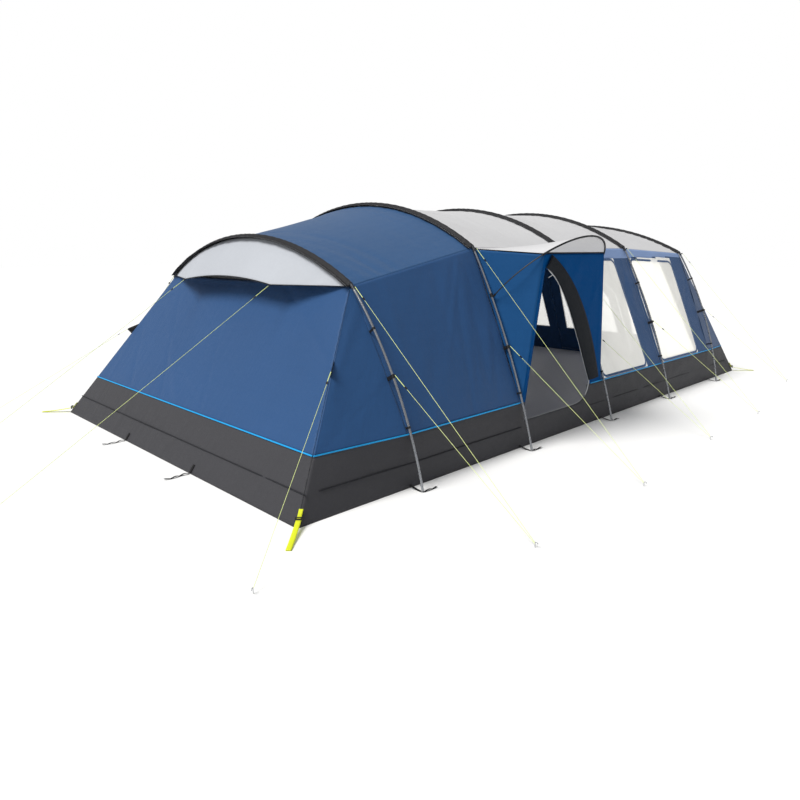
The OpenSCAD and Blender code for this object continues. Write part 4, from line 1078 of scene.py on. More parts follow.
def makeSkirts():
    for side, sideName in ((-1, "near"), (1, "far")):
        def place(across, up, lift):
            # across is x and up is the share of the skirt's height
            tops, feet = [], []
            for k in range(7):
                if k in (0, 6):
                    end = "rear" if k == 0 else "front"
                    share = plan["cornerSkirt"] / shoulders[0 if k == 0 else 4][1]
                    tops.append(cornerSeam(end, share))
                    feet.append(cornerSeam(end, 0))
                else:
                    tops.append((hoopX[k - 1], wallFoot[0], wallFoot[1] - 0.0003))
                    feet.append((hoopX[k - 1], halfWidth, 0))
            tops, feet = np.array(tops), np.array(feet)
            low = np.stack([across, np.interp(across, feet[:, 0], feet[:, 1]), np.zeros_like(across)], -1)
            share = np.interp(across, feet[:, 0], np.arange(7.0))
            high = np.stack([np.interp(share, np.arange(7.0), tops[:, c]) for c in range(3)], -1)
            made = low + (high - low) * up[:, None]
            made[:, 1] += lift
            made[:, 1] *= side
            return made
        count = spaced(frontX - rearX, skirtLook["step"])
        edge = [(x, 0.0) for x in np.linspace(rearX, frontX, count)]
        height = 0.387
        outline = [(x, v * height) for x, v in edge] + [(x, height) for x, v in reversed(edge)]
        holes = []
        if side < 0:
            dip = [(hoopX[1] + x, min(z, height)) for x, z in sideDoorOutline if z < height + 0.03]
            kept = [p for p in dip if p[1] < height - 0.001]
            rise = (kept[-1][0] + 0.004, height)
            start = (hoopX[1] + porch["hinge"][0][0] + 0.021, height)
            outline = [(rearX, 0.0), *edge[1:-1], (frontX, 0.0), (frontX, height)]
            outline = [tuple(p) for p in outline] + [rise, *reversed(kept), start, (rearX, height)]
        made = flatSheet(f"{sideName}Skirt", outline, holes,
                         lambda a, b, c: place(a, b / height, c), "skirtGrey", skirtLook["step"], 81 + side, 40,
                         skirtLook["depth"], lean=0.0)
        made.data.materials[0] = finish["skirtGrey"]
        pinned(made, [f"skirt_{sideName}"], flat=(frontX - rearX, 0.40))
        for part, (a, b) in enumerate([(rearX + 0.12, hoopX[1] + 0.02), (hoopX[2] - 0.24, frontX - 0.12)]
                                      if side < 0 else [(rearX + 0.12, frontX - 0.12)]):
            strap(f"{sideName}SkirtFold{part}", [(a, 0.178), (b, 0.178)], 0.010, 0.0046, "seamGrey",
                  place=lambda p, q, c: place(p, q / height, c), stitches="threadDark")


def makeFloor():
    low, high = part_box("groundsheet")
    u, v = np.meshgrid(np.linspace(low.x, high.x, 190), np.linspace(low.y, high.y, 110), indexing="ij")
    lift = softFolds(55, u, v, 60, 0.0012, 0.7, 0.9)
    points = np.stack([u, v, high.z + np.clip(lift, 0, 0.004)], -1)
    made = gridSheet("groundSheet", points, "floorGrey", (0, 0, 1), thick=0.001)
    pinned(made, ["groundsheet"], flat=(high.x - low.x, high.y - low.y))


makeSkirts()
makeFloor()
print("skirt and floor made")

# porch
wallOut, wallUp = halfWidth - plan["skirtLean"] + 0.002, plan["skirtUp"] + plan["seam"]
archRise = math.sqrt(archRadius ** 2 - porch["topHalf"] ** 2)
porchTop = (porch["footOut"] + archRise * math.sin(math.radians(45)),
            porch["footUp"] + archRise * math.cos(math.radians(45)))
porchLean = math.atan((porchTop[0] - wallOut) / (porchTop[1] - wallUp))


def porchPlace(across, up, lift):
    across, up, lift = np.broadcast_arrays(np.asarray(across, float), up, lift)
    return np.stack([hoopX[1] + across, -wallOut - (up - wallUp) * math.sin(porchLean) - lift * math.cos(porchLean),
                     wallUp + (up - wallUp) * math.cos(porchLean) - lift * math.sin(porchLean)], -1)


def archPoint(t):
    # t in radians along the porch pole, 0 at the third hoop
    out = archRadius * math.sin(t)
    return (porch["mid"] + archRadius * math.cos(t), -porch["footOut"] - out * math.sin(math.radians(45)),
            porch["footUp"] + out * math.cos(math.radians(45)))


def makePorch():
    head = porchTop[1] - 0.002
    full = [(porch["inset"], wallUp), (bay - porch["inset"], wallUp), (bay / 2 + porch["topHalf"], head),
            (bay / 2 - porch["topHalf"], head)]
    hinge = porch["hinge"]
    slope = (hinge[1][0] - hinge[0][0]) / (hinge[1][1] - hinge[0][1])
    kept = [p for p in sideDoorOutline if p[1] > wallUp + 0.004]
    first = (hinge[0][0] + (wallUp - hinge[0][1]) * slope, wallUp)
    last = (kept[0][0] + 0.001, wallUp)
    outline = [full[0], first, *reversed(kept), last, full[1], full[2], full[3]]
    made = flatSheet("porchWall", outline, [], porchPlace, "porchBlue", 0.018, 101, 12, 0.004, lean=1.3)
    pinned(made, ["porch_front"], flat=(bay, head - wallUp))

    # rain flap round the curved side of the doorway
    inner = np.array(bezier([(1.108, 0.430), (0.800, 0.900), (0.520, 1.420), hinge[1]], 40))
    outer = np.array(bezier([(1.300, 0.440), (1.060, 0.980), (0.760, 1.400), (0.300, 1.608)], 40))
    rows = [porchPlace(*mix(inner, outer, t).T, 0.008 + 0.010 * math.sin(math.pi * t) * (1 - 0.4 * t))
            for t in np.linspace(0, 1, 9)]
    flap = gridSheet("porchRainFlap", np.stack(rows, 1), "flapNavy", (0, -1, 0), thick=0.0014)
    dressed(flap)
    seamRows.append((np.stack(rows, 1)[:, 7] + np.array([0, -0.001, 0]), (0, -1, 0), "threadDark", shell))

    # pale zip tape along the doorway's curve and sill
    ring = sideDoorOutline[1:]
    path = [(hinge[0][0] + 0.05, porch["sill"] - 0.010), *[(x + 0.012, z - 0.004) for x, z in ring[:-1]],
            (hinge[1][0] + 0.03, hinge[1][1] + 0.006)]
    strap("porchZipTape", path, zipTape["porchWide"], zipTape["porchLift"], "zipGrey",
          place=porchPlace, stitches="threadDark")
    zipRows.append((porchPlace(*np.array(path).T, 0.0076), (0, -1, 0), shell))

    # cheeks between the hoops and the porch wall
    for side, sideName in ((-1, "Rear"), (1, "Front")):
        v, u = np.meshgrid(np.linspace(0, 0.992, 70), np.linspace(0, 1, 16), indexing="ij")
        y, z = wallLine(1, v)
        root = np.stack([np.full_like(v, hoopX[1] + porch["cheek"]), -y, z], -1)
        foot, top = hoopX[1] + porch["inset"] - 0.0003, porch["mid"] - porch["topHalf"] - 0.0003
        rim = np.stack([mix(foot, top, v), -mix(wallOut, porchTop[0], v), mix(wallUp, porchTop[1], v)], -1)
        points = mix(root, rim, u[..., None])
        if side > 0:
            points[..., 0] = 2 * porch["mid"] - points[..., 0]
        lift = softFolds(111 + side, u * 0.4, v * 1.3, 8, 0.003, 1.4, 0.3, 0.03)
        normals = gridNormals(points)
        normals *= np.sign(np.mean(normals @ np.array([side, -0.4, 0.0])))
        made = gridSheet(f"porchCheek{sideName}", points + normals * lift[..., None], "cheekBlue", (side, -0.4, 0))
        pinned(made, ["porch_cheeks"], flat=(0.62, 1.45))

    # roof of the porch, from the eave to the pole
    low = math.acos(porch["topHalf"] / archRadius)
    ts = np.linspace(math.pi - low, low, 70)
    rim = np.array([archPoint(t) for t in ts]) + np.array([0, 0.007, 0.002])
    root = np.stack([np.linspace(hoopX[1] + 0.020, hoopX[2] - 0.020, 70), np.full(70, -shoulders[1][0] - 0.0008),
                     np.full(70, shoulders[1][1])], -1)
    k = np.linspace(0, 1, 42)
    grid = np.stack([mix(root, rim, t) for t in k], 1)
    spread = np.linspace(0, 1, 70)[:, None]
    lift = -0.010 * np.sin(math.pi * k)[None, :] * np.sin(math.pi * spread)
    lift = lift + softFolds(121, spread * 1.3 + 0 * k[None, :], 0.7 * k[None, :] + 0 * spread, 10, 0.003, 1.4, 0.3)
    grid[..., 2] += lift
    made = gridSheet("porchRoof", grid, "roofWhite", (0, -0.2, 1))
    pinned(made, ["porch_roof"], flat=(1.40, 0.85))

    # pale gable under the arch
    chord = archRise + 0.001
    half = math.acos(chord / (archRadius - 0.0055))
    gableRadius = archRadius - 0.0055  # just inside the pole
    arc = [(gableRadius * math.sin(t), gableRadius * math.cos(t)) for t in np.linspace(half, -half, 41)]

    def gablePlace(across, out, lift):
        turn = math.radians(45)
        return np.stack([porch["mid"] + across, -porch["footOut"] - out * math.sin(turn) - lift * math.cos(turn),
                         porch["footUp"] + out * math.cos(turn) - lift * math.sin(turn)], -1)
    made = flatSheet("porchGable", arc, [], gablePlace, "roofWhite", 0.02, 131, 8, 0.0025, lean=0.0)
    pinned(made, ["porch_gable"], flat=(2 * porch["topHalf"], archRadius - archRise))
    strap("porchBrowBinding", [(-porch["topHalf"] + 0.02, chord + 0.004), (porch["topHalf"] - 0.02, chord + 0.004)],
          0.016, 0.0024, "flapNavy", place=gablePlace, stitches="threadDark")

    # sleeve on the arched pole
    ts = np.linspace(low - 0.03, math.pi - low + 0.03, 120)
    spine = np.array([archPoint(t) for t in ts])
    tube("porchSleeve", spine, 0.0078, "sleeveGrey", pucker=0.0005)


def tube(name, spine, radius, material, pucker=0.0, body=shell, nodes=()):
    ahead = np.gradient(spine, axis=0)
    ahead /= np.linalg.norm(ahead, axis=1, keepdims=True)
    pick = np.array([0.0, 0.0, 1.0]) if abs(ahead[0, 2]) < 0.9 else np.array([1.0, 0.0, 0.0])
    side = np.cross(ahead, pick)
    side /= np.linalg.norm(side, axis=1, keepdims=True)
    up = np.cross(side, ahead)
    turns = np.linspace(0, 2 * math.pi, 13)[:-1]
    far = np.cumsum(np.r_[0, np.linalg.norm(np.diff(spine, axis=0), axis=1)])
    rows = [spine + (side * math.cos(t) + up * math.sin(t))
            * (radius + pucker * np.sin(far * 90 + 3 * math.sin(2 * t)))[:, None] for t in turns]
    verts = np.stack(rows, 1).reshape(-1, 3)
    faces = []
    for a in range(len(spine) - 1):
        for b in range(12):
            c = (b + 1) % 12
            faces.append((a * 12 + b, a * 12 + c, (a + 1) * 12 + c, (a + 1) * 12 + b))
    last = (len(spine) - 1) * 12
    faces += [tuple(reversed(range(12))), tuple(range(last, last + 12))]
    uvs = np.stack([np.repeat(far, 12), np.tile(turns * radius, len(spine))], -1)
    made = meshObject(name, verts, faces, uvs, material)
    bm = bmesh.new()
    bm.from_mesh(made.data)
    bmesh.ops.recalc_face_normals(bm, faces=bm.faces)
    bm.to_mesh(made.data)
    bm.free()
    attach(made, body)
    if nodes:
        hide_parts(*nodes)
    return made


def makeSideDoor():
    # the leaf is drawn closed, then swung open about its hinge as the CAD leaf is
    leaf = hung(sideDoorOutline, *porch["hinge"], 1, porch["gap"], porch["hingeGap"])
    a, b = np.array(porch["hinge"][0]), np.array(porch["hinge"][1])
    d = (b - a) / np.linalg.norm(b - a)
    inset = np.array([d[1], -d[0]]) * (porch["hingeGap"] + 0.001)
    foot, head = (Vector(porchPlace(*(p + inset), -0.001)) for p in (a, b))
    swing = Matrix.Translation(foot) @ Matrix.Rotation(math.radians(90), 4, head - foot) @ Matrix.Translation(-foot)
    door = flatSheet("sideDoorLeaf", leaf, [], porchPlace, "porchBlue", 0.02, 141, 14, 0.004)
    door.data.transform(swing)
    pinned(door, ["side_door"], body="side_door_panel", flat=(1.10, 1.30))
    ring = [((p[0] - 0.5) * 0.945 + 0.5, (p[1] - 0.8) * 0.952 + 0.8) for p in leaf]
    tape = strap("sideDoorTape", ring, zipTape["leafWide"], zipTape["leafLift"], "zipGrey",
                 closed=True, body="side_door_panel",
                 place=porchPlace)
    tape.data.transform(swing)


makePorch()
makeSideDoor()
print("porch made")

# pole sleeves
sleeveLook = {"halfBand": 0.056, "pucker": 0.0010}


def makeSleeves():
    for k in range(5):
        radius, centre, turn = arcs[k]
        base = flyRadius[k]
        s = np.linspace(-1, 1, 220)
        x = np.array([-1.0, -0.72, -0.5, -0.42, -0.3, -0.15, 0.0, 0.15, 0.3, 0.42, 0.5, 0.72,
                      1.0]) * sleeveLook["halfBand"]
        hump = np.where(np.abs(x) < 0.0145, np.sqrt(np.maximum(0, 0.0150 ** 2 - x ** 2)) + 0.0153,
                        0.0022 + 0.004 * np.exp(-((np.abs(x) - 0.0145) / 0.004) ** 2))
        side, across = np.meshgrid(s, x, indexing="ij")
        height = np.broadcast_to(hump, side.shape).copy()
        far = side * turn * radius
        height += sleeveLook["pucker"] * np.sin(far * 75 + 2.2 * np.sin(far * 9 + k)) * (np.abs(across) < 0.02)
        height += 0.0006 * np.sin(far * 110 + k) * (np.abs(across) >= 0.02)
        wave = 0.002 * np.sin(far * 23 + k) * (np.abs(across) > 0.03)
        level = base + height
        grid = np.stack([hoopX[k] + across + wave, level * np.sin(side * turn),
                         centre + level * np.cos(side * turn)], -1)
        made = gridSheet(f"poleSleeve{k + 1}", grid, "sleeveGrey", (0, 0, 1), thick=0.001)
        pinned(made, [f"sleeve_{k + 1}"], flat=(2 * radius * turn + 0.02, 0.11))
        for column in (1, 11):
            seamRows.append((grid[:, column] + np.array([0, 0, 0.0012]), None, "threadPale", shell))


makeSleeves()
print("pole sleeves made")

# sleeping tent
sleep = {
    "gap": 0.090,
    "footOut": halfWidth - 0.170,
    "footUp": 0.006,
    "hingeOut": 0.150,
    "sill": 0.060,
    "doorWide": 0.760,
    "doorTall": 1.300,
    "gapDoor": 0.008,
    "hingeGap": 0.0006,
}


def sleepProfile(station, count=60):
    _, out, low, high = station
    rise = high - low
    radius = (out * out + rise * rise) / (2 * rise)
    turn = math.asin(out / radius)
    arc = [(radius * math.sin(t), high - radius + radius * math.cos(t)) for t in np.linspace(-turn, turn, count)]
    leg = 24
    left = [(mix(-sleep["footOut"], arc[0][0], t / leg), mix(sleep["footUp"], arc[0][1], t / leg))
            for t in range(leg)]
    right = [(mix(arc[-1][0], sleep["footOut"], t / leg), mix(arc[-1][1], sleep["footUp"], t / leg))
             for t in range(1, leg + 1)]
    return np.array(left + arc + right)


def makeSleepingTent():
    out = [plan["elbowOut"][0] - sleep["gap"], plan["elbowOut"][0] - sleep["gap"], plan["elbowOut"][1] - sleep["gap"]]
    stations = [(rearX + 0.170, out[0], 0.090, 0.110),
                (hoopX[0], out[1], plan["elbowUp"][0] - 1.4 * sleep["gap"], plan["elbowUp"][0] - sleep["gap"]),
                (hoopX[1] - 0.060, out[2], plan["elbowUp"][1] - sleep["gap"],
                 apexUp[1] - sleep["gap"] - plan["sleeveRadius"])]
    rings = [sleepProfile(st) for st in stations]
    rows = []
    for part in (0, 1):
        for t in np.linspace(0, 1, 40, endpoint=False):
            ring = mix(rings[part], rings[part + 1], t)
            rows.append(np.column_stack([np.full(len(ring), mix(stations[part][0], stations[part + 1][0], t)), ring]))
    rows.append(np.column_stack([np.full(len(rings[2]), stations[2][0]), rings[2]]))
    grid = np.stack(rows)
    u = grid[..., 0]
    far = lengths(grid, 1)
    lift = softFolds(151, u, far, 40, 0.006, 0.6, 0.9, 0.08)
    normals = gridNormals(grid)
    normals *= np.sign(np.mean(normals[..., 2]))
    skin = gridSheet("sleepingTentSkin", grid - normals * np.abs(lift)[..., None], "sleepGrey", (0, 0, 1))
    pinned(skin, ["inner_tent"], flat=(2.4, 5.9))
    floor = gridSheet("sleepingTentFloor", np.stack([np.stack([np.linspace(stations[0][0], stations[2][0], 30),
                      np.full(30, y), np.full(30, 0.0062)], -1) for y in np.linspace(-sleep["footOut"] + 0.004,
                                                                                     sleep["footOut"] - 0.004, 40)]),
                      "floorGrey", (0, 0, 1), thick=0.001)
    pinned(floor, ["inner_tent"], flat=(2.09, 3.66))

    wallX = stations[2][0] + plan["seam"] + 0.002
    def place(across, up, lift):
        across, up, lift = np.broadcast_arrays(np.asarray(across, float), up, lift)
        return np.stack([wallX + lift, across, up], -1)
    h, w, sill, tall = sleep["hingeOut"], sleep["doorWide"], sleep["sill"], sleep["doorTall"]
    outline = [(h, sill), (h + w - 0.080, sill)] \
        + bezier([(h + w - 0.030, sill), (h + w, 0.080), (h + w, 0.120), (h + w, 0.200)], 4) \
        + bezier([(h + w, tall - 0.360), (h + w, tall - 0.120), (h + 0.420, tall + sill), (h, tall + sill)], 10)
    other = [(-y, z) for y, z in reversed(outline)]
    front = flatSheet("sleepingTentFront", [tuple(p) for p in rings[2][::2]], [outline, other], place, "sleepGrey",
                      0.03, 161, 16, 0.004)
    pinned(front, ["inner_front"], flat=(3.66, 1.99))
    leaf = hung(outline, (h, sill), (h, tall + sill), 1, sleep["gapDoor"], sleep["hingeGap"])
    mesh = [(h + 0.14, 0.62), (h + w - 0.14, 0.62), (h + w - 0.14, 0.96), (h + w - 0.36, 1.16), (h + 0.14, 1.20)]
    for sign, name in ((1, "Far"), (-1, "Near")):
        ring = leaf if sign > 0 else [(-y, z) for y, z in reversed(leaf)]
        hole = mesh if sign > 0 else [(-y, z) for y, z in reversed(mesh)]
        body = f"sleeping_door_{name.lower()}"
        door = flatSheet(f"sleepingDoor{name}", ring, [hole], place, "sleepGrey", 0.03, 171 + sign, 8, 0.003)
        pinned(door, [f"inner_door_{name.lower()}"], body=body, flat=(0.78, 1.32))
        net = flatSheet(f"sleepingDoorMesh{name}", hole, [], place, "insectMesh", 0.04, 175, 2, 0.001, thick=0.0005)
        dressed(net, body)
        strap(f"sleepingDoorBinding{name}", hole, 0.018, 0.0018, "bindingBlack", closed=True,
              body=body, place=place, stitches="threadPale")
        edge = outline if sign > 0 else other
        curved = edge[1:] if sign > 0 else edge[:-1]
        spots = np.array([(y + 0.012 * sign, z) for y, z in curved])
        zipRows.append((place(spots[:, 0], spots[:, 1], 0.003), (1, 0, 0), shell))


makeSleepingTent()
print("sleeping tent made")

# hem trims, straps and piping
trimLook = {
    "pipingWide": 0.011,
    "tabWide": 0.028,
    "tabUp": 0.075,
    "tailLong": 0.200,
    "tailWide": 0.018,
    "strapWide": 0.034,
    "rearTabs": (-0.630, 0.570),
    "frontTabs": (-1.150, 1.150),
    "footOut": 0.120,
}


def ribbon(name, spine, wideWay, outWay, wide, material, lift=0.002, thick=0.0016, bulge=0.0, nodes=()):
    spine = np.array(spine, float)
    wideWay = np.broadcast_to(np.array(wideWay, float), spine.shape)
    outWay = np.broadcast_to(np.array(outWay, float), spine.shape)
    rows = [spine + wideWay * s * wide + outWay * (lift + bulge * (1 - 4 * s * s))
            for s in (-0.5, -0.25, 0, 0.25, 0.5)]
    made = gridSheet(name, np.stack(rows, 1), material, outWay.mean(0), thick=thick)
    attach(made, shell)
    if nodes:
        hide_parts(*nodes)
    return made


def smoothPath(points, count):
    # an even walk along a polyline
    p = np.array(points, float)
    far = np.r_[0, np.cumsum(np.linalg.norm(np.diff(p, axis=0), axis=1))]
    want = np.linspace(0, far[-1], count)
    return np.stack([np.interp(want, far, p[:, c]) for c in range(3)], -1)


def makePiping():
    for end, k in (("rear", 0), ("front", 4)):
        place, full, topOut = endPlane(end)
        slant = full * plan["cornerSkirt"] / shoulders[k][1]
        edge = mix(halfWidth, topOut, slant / full) - 0.004
        y = np.linspace(-edge, edge, 120)
        runs = [y] if end == "rear" else [y[y < -0.560], y[y > 0.695]]
        for n, run in enumerate(runs):
            spine = place(run, np.full(len(run), slant + 0.004), np.zeros(len(run)))
            out = stepOn(place, (0.0, 0.0, 1.0), (0.0, 0.0, 0.0))
            up = stepOn(place, (0.0, 1.0, 0.0), (0.0, 0.0, 0.0))
            ribbon(f"{end}Piping{n}", spine, up, out, trimLook["pipingWide"], "pipingCyan", 0.0052,
                   bulge=0.0012, nodes=["piping"])
    rearSeam = cornerSeam("rear", plan["cornerSkirt"] / shoulders[0][1])
    frontSeam = cornerSeam("front", plan["cornerSkirt"] / shoulders[4][1])
    for side, sideName in ((-1, "near"), (1, "far")):
        foot = wallFoot[0] + 0.0005
        whole = [(rearSeam[0], side * rearSeam[1], rearSeam[2]), *[(x, side * foot, wallFoot[1]) for x in hoopX],
                 (frontSeam[0], side * frontSeam[1], frontSeam[2])]
        fine = smoothPath(whole, 420)
        keep = [fine] if side > 0 else [fine[fine[:, 0] < hoopX[1] + 0.02], fine[fine[:, 0] > hoopX[1] + 1.150]]
        for n, run in enumerate(keep):
            out = np.array([0, side * 0.97, 0.05])
            ribbon(f"{sideName}Piping{n}", run + np.array([0, 0, 0.004]), (0, 0, 1), out, trimLook["pipingWide"],
                   "pipingCyan", 0.0038, bulge=0.0012, nodes=["piping"])


def makeTabs():
    # webbing loops at the hem, their loose tails on the ground and the foot straps
    for end, away, x0, places in (("rear", -1, rearX, trimLook["rearTabs"]),
                                  ("front", 1, frontX, trimLook["frontTabs"])):
        place, _, _ = endPlane(end)
        for n, y in enumerate(places):
            up = np.linspace(0.006, trimLook["tabUp"], 12)
            spine = place(np.full(12, y), up, np.zeros(12))
            out = stepOn(place, (0.0, 0.0, 1.0), (0.0, 0.0, 0.0))
            ribbon(f"{end}Tab{n}", spine, (0, 1, 0), out, trimLook["tabWide"], "bindingBlack",
                   0.0055, bulge=0.001, nodes=["webbing_tabs"])
            t = np.linspace(0, 1, 40)
            long = trimLook["tailLong"]
            tail = np.stack([x0 + away * (0.004 + t * (long - 0.008)), y + 0.010 * np.sin(7 * t + n) * t,
                             0.0022 + 0.0105 * np.abs(np.sin(2.6 * math.pi * t)) * (1 - 0.4 * t)], -1)
            ribbon(f"{end}Tail{n}", tail, (0, 1, 0), (0, 0, 1), trimLook["tailWide"], "bindingBlack",
                   0.0008, thick=0.0012, nodes=["webbing_tabs"])
    for side, sideName in ((-1, "Near"), (1, "Far")):
        for n, x in enumerate(hoopX):
            t = np.linspace(0, 1, 14)
            y = side * (halfWidth - 0.002 + t * trimLook["footOut"])
            rise = 0.0018 + 0.020 * (1 - t) ** 2
            ribbon(f"footStrap{sideName}{n + 1}", np.stack([np.full(14, x), y, rise], -1), (1, 0, 0), (0, 0, 1),
                   0.020, "bindingBlack", 0.0006, thick=0.0013, nodes=["webbing_tabs"])
            t = np.linspace(0, 1, 26)
            tail = np.stack([x + 0.010 + t * 0.125, np.full(26, side * (halfWidth + trimLook["footOut"] + 0.009)),
                             0.0022 + 0.008 * np.abs(np.sin(4.4 * t + n))], -1)
            ribbon(f"footTail{sideName}{n + 1}", tail, (0, 1, 0), (0, 0, 1), 0.014, "bindingBlack",
                   0.0006, thick=0.0012, nodes=["webbing_tabs"])
        # triangles that hold the corner and hood guys
        for n, (low, high, hook) in enumerate([(0.59, 0.63, guyRoutes[10][0]), (None, None, guyRoutes[11][0])]):
            if low is None:
                a, b = (np.array([hook[0] + 0.012, -0.700 + s * 0.022, hook[2] + 0.004]) for s in (-1, 1))
            else:
                a, b = (np.array(cornerSeam("rear", t)) * np.array([1, -1, 1]) for t in (low - 0.01, high + 0.02))
            tip = np.array(hook)
            rows = []
            for t in np.linspace(0, 1, 9):
                share = 1 - t * 0.86
                middle = mix((a + b) / 2, tip, t)
                rows.append([middle + (a - b) / 2 * share, middle, middle + (b - a) / 2 * share])
            grid = np.array(rows)
            grid[..., 1] *= -side
            outWay = (-0.7, side * 0.7, 0) if low is not None else (0, 0, 1)
            made = gridSheet(f"guyTab{sideName}{n}", grid, "bindingBlack", outWay, thick=0.002)
            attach(made, shell)
            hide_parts("webbing_tabs")


def makeCornerStraps():
    for end, sign in (("rear", -1), ("front", 1)):
        for side, sideName in ((-1, "Near"), (1, "Far")):
            diagonal = np.array([sign, side, 0]) / math.sqrt(2)
            across = np.array([-side, sign, 0]) / math.sqrt(2)
            x0 = rearX if end == "rear" else frontX
            top, low = cornerSeam(end, 0.072), cornerSeam(end, 0.034)
            upper = smoothPath([(top[0], side * top[1], top[2]), (low[0], side * low[1], low[2])], 8)
            ribbon(f"{end}StrapTop{sideName}", upper + diagonal * 0.006, across, diagonal,
                   trimLook["strapWide"] * 0.8,
                   "strapYellow", 0.002, thick=0.002, bulge=0.001, nodes=["corner_straps"])
            start = np.array([low[0], side * low[1], low[2]]) + diagonal * 0.016
            end3 = np.array([x0 + sign * 0.205, side * (halfWidth + 0.205), 0.004])
            middle = mix(start, end3, 0.5) - np.array([0, 0, 0.012])
            t = np.linspace(0, 1, 20)[:, None]
            lower = (1 - t) ** 2 * start + 2 * t * (1 - t) * middle + t * t * end3
            out = np.array([sign * 0.2, side * 0.2, 0.95])
            ribbon(f"{end}StrapPull{sideName}", lower, across, out, trimLook["strapWide"], "strapYellow",
                   0.001, thick=0.002, bulge=0.001, nodes=["corner_straps"])
            shape = plateMesh([(x * 0.022, y * 0.015) for x, y in ((-1, -1), (1, -1), (1, 1), (-1, 1))],
                              [[(x * 0.015, y * 0.003 + dy) for x, y in ((-1, -1), (1, -1), (1, 1), (-1, 1))]
                               for dy in (-0.0075, 0.0075)], 0.005, 0.001)
            way = Matrix((Vector(across), Vector(np.cross(diagonal, across)),
                          Vector(diagonal))).transposed().to_4x4()
            spot = Matrix.Translation(Vector(start) + Vector((0, 0, 0.006))) @ way
            buckle = copies(f"{end}Buckle{sideName}", shape, [spot], "plasticBlack")
            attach(buckle, shell)
            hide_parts("corner_straps")


def makeBlindBand():
    # on both sides, a dark rolled-back blind at the edge of the last window and a cream one behind its pane; the cream
    # one gives off a little painted light
    k = 3
    long = hoopX[k + 1] - hoopX[k]
    tall = shoulders[k][1] - plan["skirtUp"]
    edge = long - windowPlan["before"]
    for side, sideName in ((-1, "near"), (1, "far")):
        t, w = np.meshgrid(np.linspace(0.02, 0.99, 60), np.linspace(0, 1, 8), indexing="ij")
        left, right = mix(edge - 0.035, edge - 0.270, t), mix(edge + 0.004, edge - 0.030, t)
        x = mix(left, right, w)
        v = (windowPlan["sill"] - plan["skirtUp"] + t * (windowPlan["head"] - windowPlan["sill"])) / tall
        points = wallSurface(k, x / long, v, side)
        points[..., 1] -= side * (0.012 + 0.004 * np.sin(w * 9 + 3 * t))
        dressed(gridSheet(f"{sideName}BlindBand", points, "flapNavy", (0, side, 0.2), thick=0.002))
        x = mix(windowPlan["after"] - 0.010, left + 0.030, w)
        cloth = wallSurface(k, x / long, v, side)
        cloth[..., 1] -= side * (0.022 + 0.004 * np.sin(w * 12 + 2 * t) * np.sin(3.0 * t))
        dressed(gridSheet(f"{sideName}Blind", cloth, "blindCream", (0, side, 0.2), thick=0.001))


makePiping()
makeTabs()
makeCornerStraps()
makeBlindBand()
print("piping, tabs and straps made")

# stitches and zip teeth
sewing = {"pitch": 0.012, "long": 0.0075, "wide": 0.0016, "tall": 0.0011, "zipPitch": 0.0055, "zipLong": 0.0028,
          "zipWide": 0.0075, "zipTall": 0.0022, "most": 8500}


def runTree():
    # a Geometry Nodes tree that sets one small rounded piece at every pitch along each edge run
    tree = bpy.data.node_groups.new("seamRun", "GeometryNodeTree")
    face = tree.interface
    face.new_socket("Geometry", in_out="INPUT", socket_type="NodeSocketGeometry")
    for name in ("Pitch", "Long", "Wide", "Tall"):
        face.new_socket(name, in_out="INPUT", socket_type="NodeSocketFloat")
    face.new_socket("Finish", in_out="INPUT", socket_type="NodeSocketMaterial")
    face.new_socket("Geometry", in_out="OUTPUT", socket_type="NodeSocketGeometry")
    kinds = {"start": "NodeGroupInput", "end": "NodeGroupOutput", "curve": "GeometryNodeMeshToCurve",
             "even": "GeometryNodeResampleCurve", "bead": "GeometryNodeMeshIcoSphere",
             "shape": "GeometryNodeTransform",
             "size": "ShaderNodeCombineXYZ", "put": "GeometryNodeInstanceOnPoints", "way": "GeometryNodeInputTangent",
             "face": "GeometryNodeInputNamedAttribute", "turn": "FunctionNodeAlignRotationToVector",
             "tip": "FunctionNodeAlignRotationToVector", "real": "GeometryNodeRealizeInstances",
             "paint": "GeometryNodeSetMaterial"}
    n = {key: tree.nodes.new(kind) for key, kind in kinds.items()}
    n["even"].mode = "LENGTH"
    n["bead"].inputs["Radius"].default_value = 0.5
    n["bead"].inputs["Subdivisions"].default_value = 1
    n["face"].data_type = "FLOAT_VECTOR"
    n["face"].inputs["Name"].default_value = "outWay"
    n["turn"].axis, n["tip"].axis, n["tip"].pivot_axis = "X", "Z", "X"
    link = tree.links.new
    start = n["start"].outputs
    link(start["Geometry"], n["curve"].inputs[0])
    link(n["curve"].outputs[0], n["even"].inputs["Curve"])
    link(start["Pitch"], n["even"].inputs["Length"])
    for axis, name in zip("XYZ", ("Long", "Wide", "Tall")):
        link(start[name], n["size"].inputs[axis])
    link(n["bead"].outputs["Mesh"], n["shape"].inputs["Geometry"])
    link(n["size"].outputs[0], n["shape"].inputs["Scale"])
    link(n["way"].outputs[0], n["turn"].inputs["Vector"])
    link(n["turn"].outputs[0], n["tip"].inputs["Rotation"])
    link(n["face"].outputs["Attribute"], n["tip"].inputs["Vector"])
    link(n["even"].outputs[0], n["put"].inputs["Points"])
    link(n["shape"].outputs[0], n["put"].inputs["Instance"])
    link(n["tip"].outputs[0], n["put"].inputs["Rotation"])
    link(n["put"].outputs[0], n["real"].inputs[0])
    link(n["real"].outputs[0], n["paint"].inputs["Geometry"])
    link(start["Finish"], n["paint"].inputs["Material"])
    link(n["paint"].outputs[0], n["end"].inputs[0])
    return tree


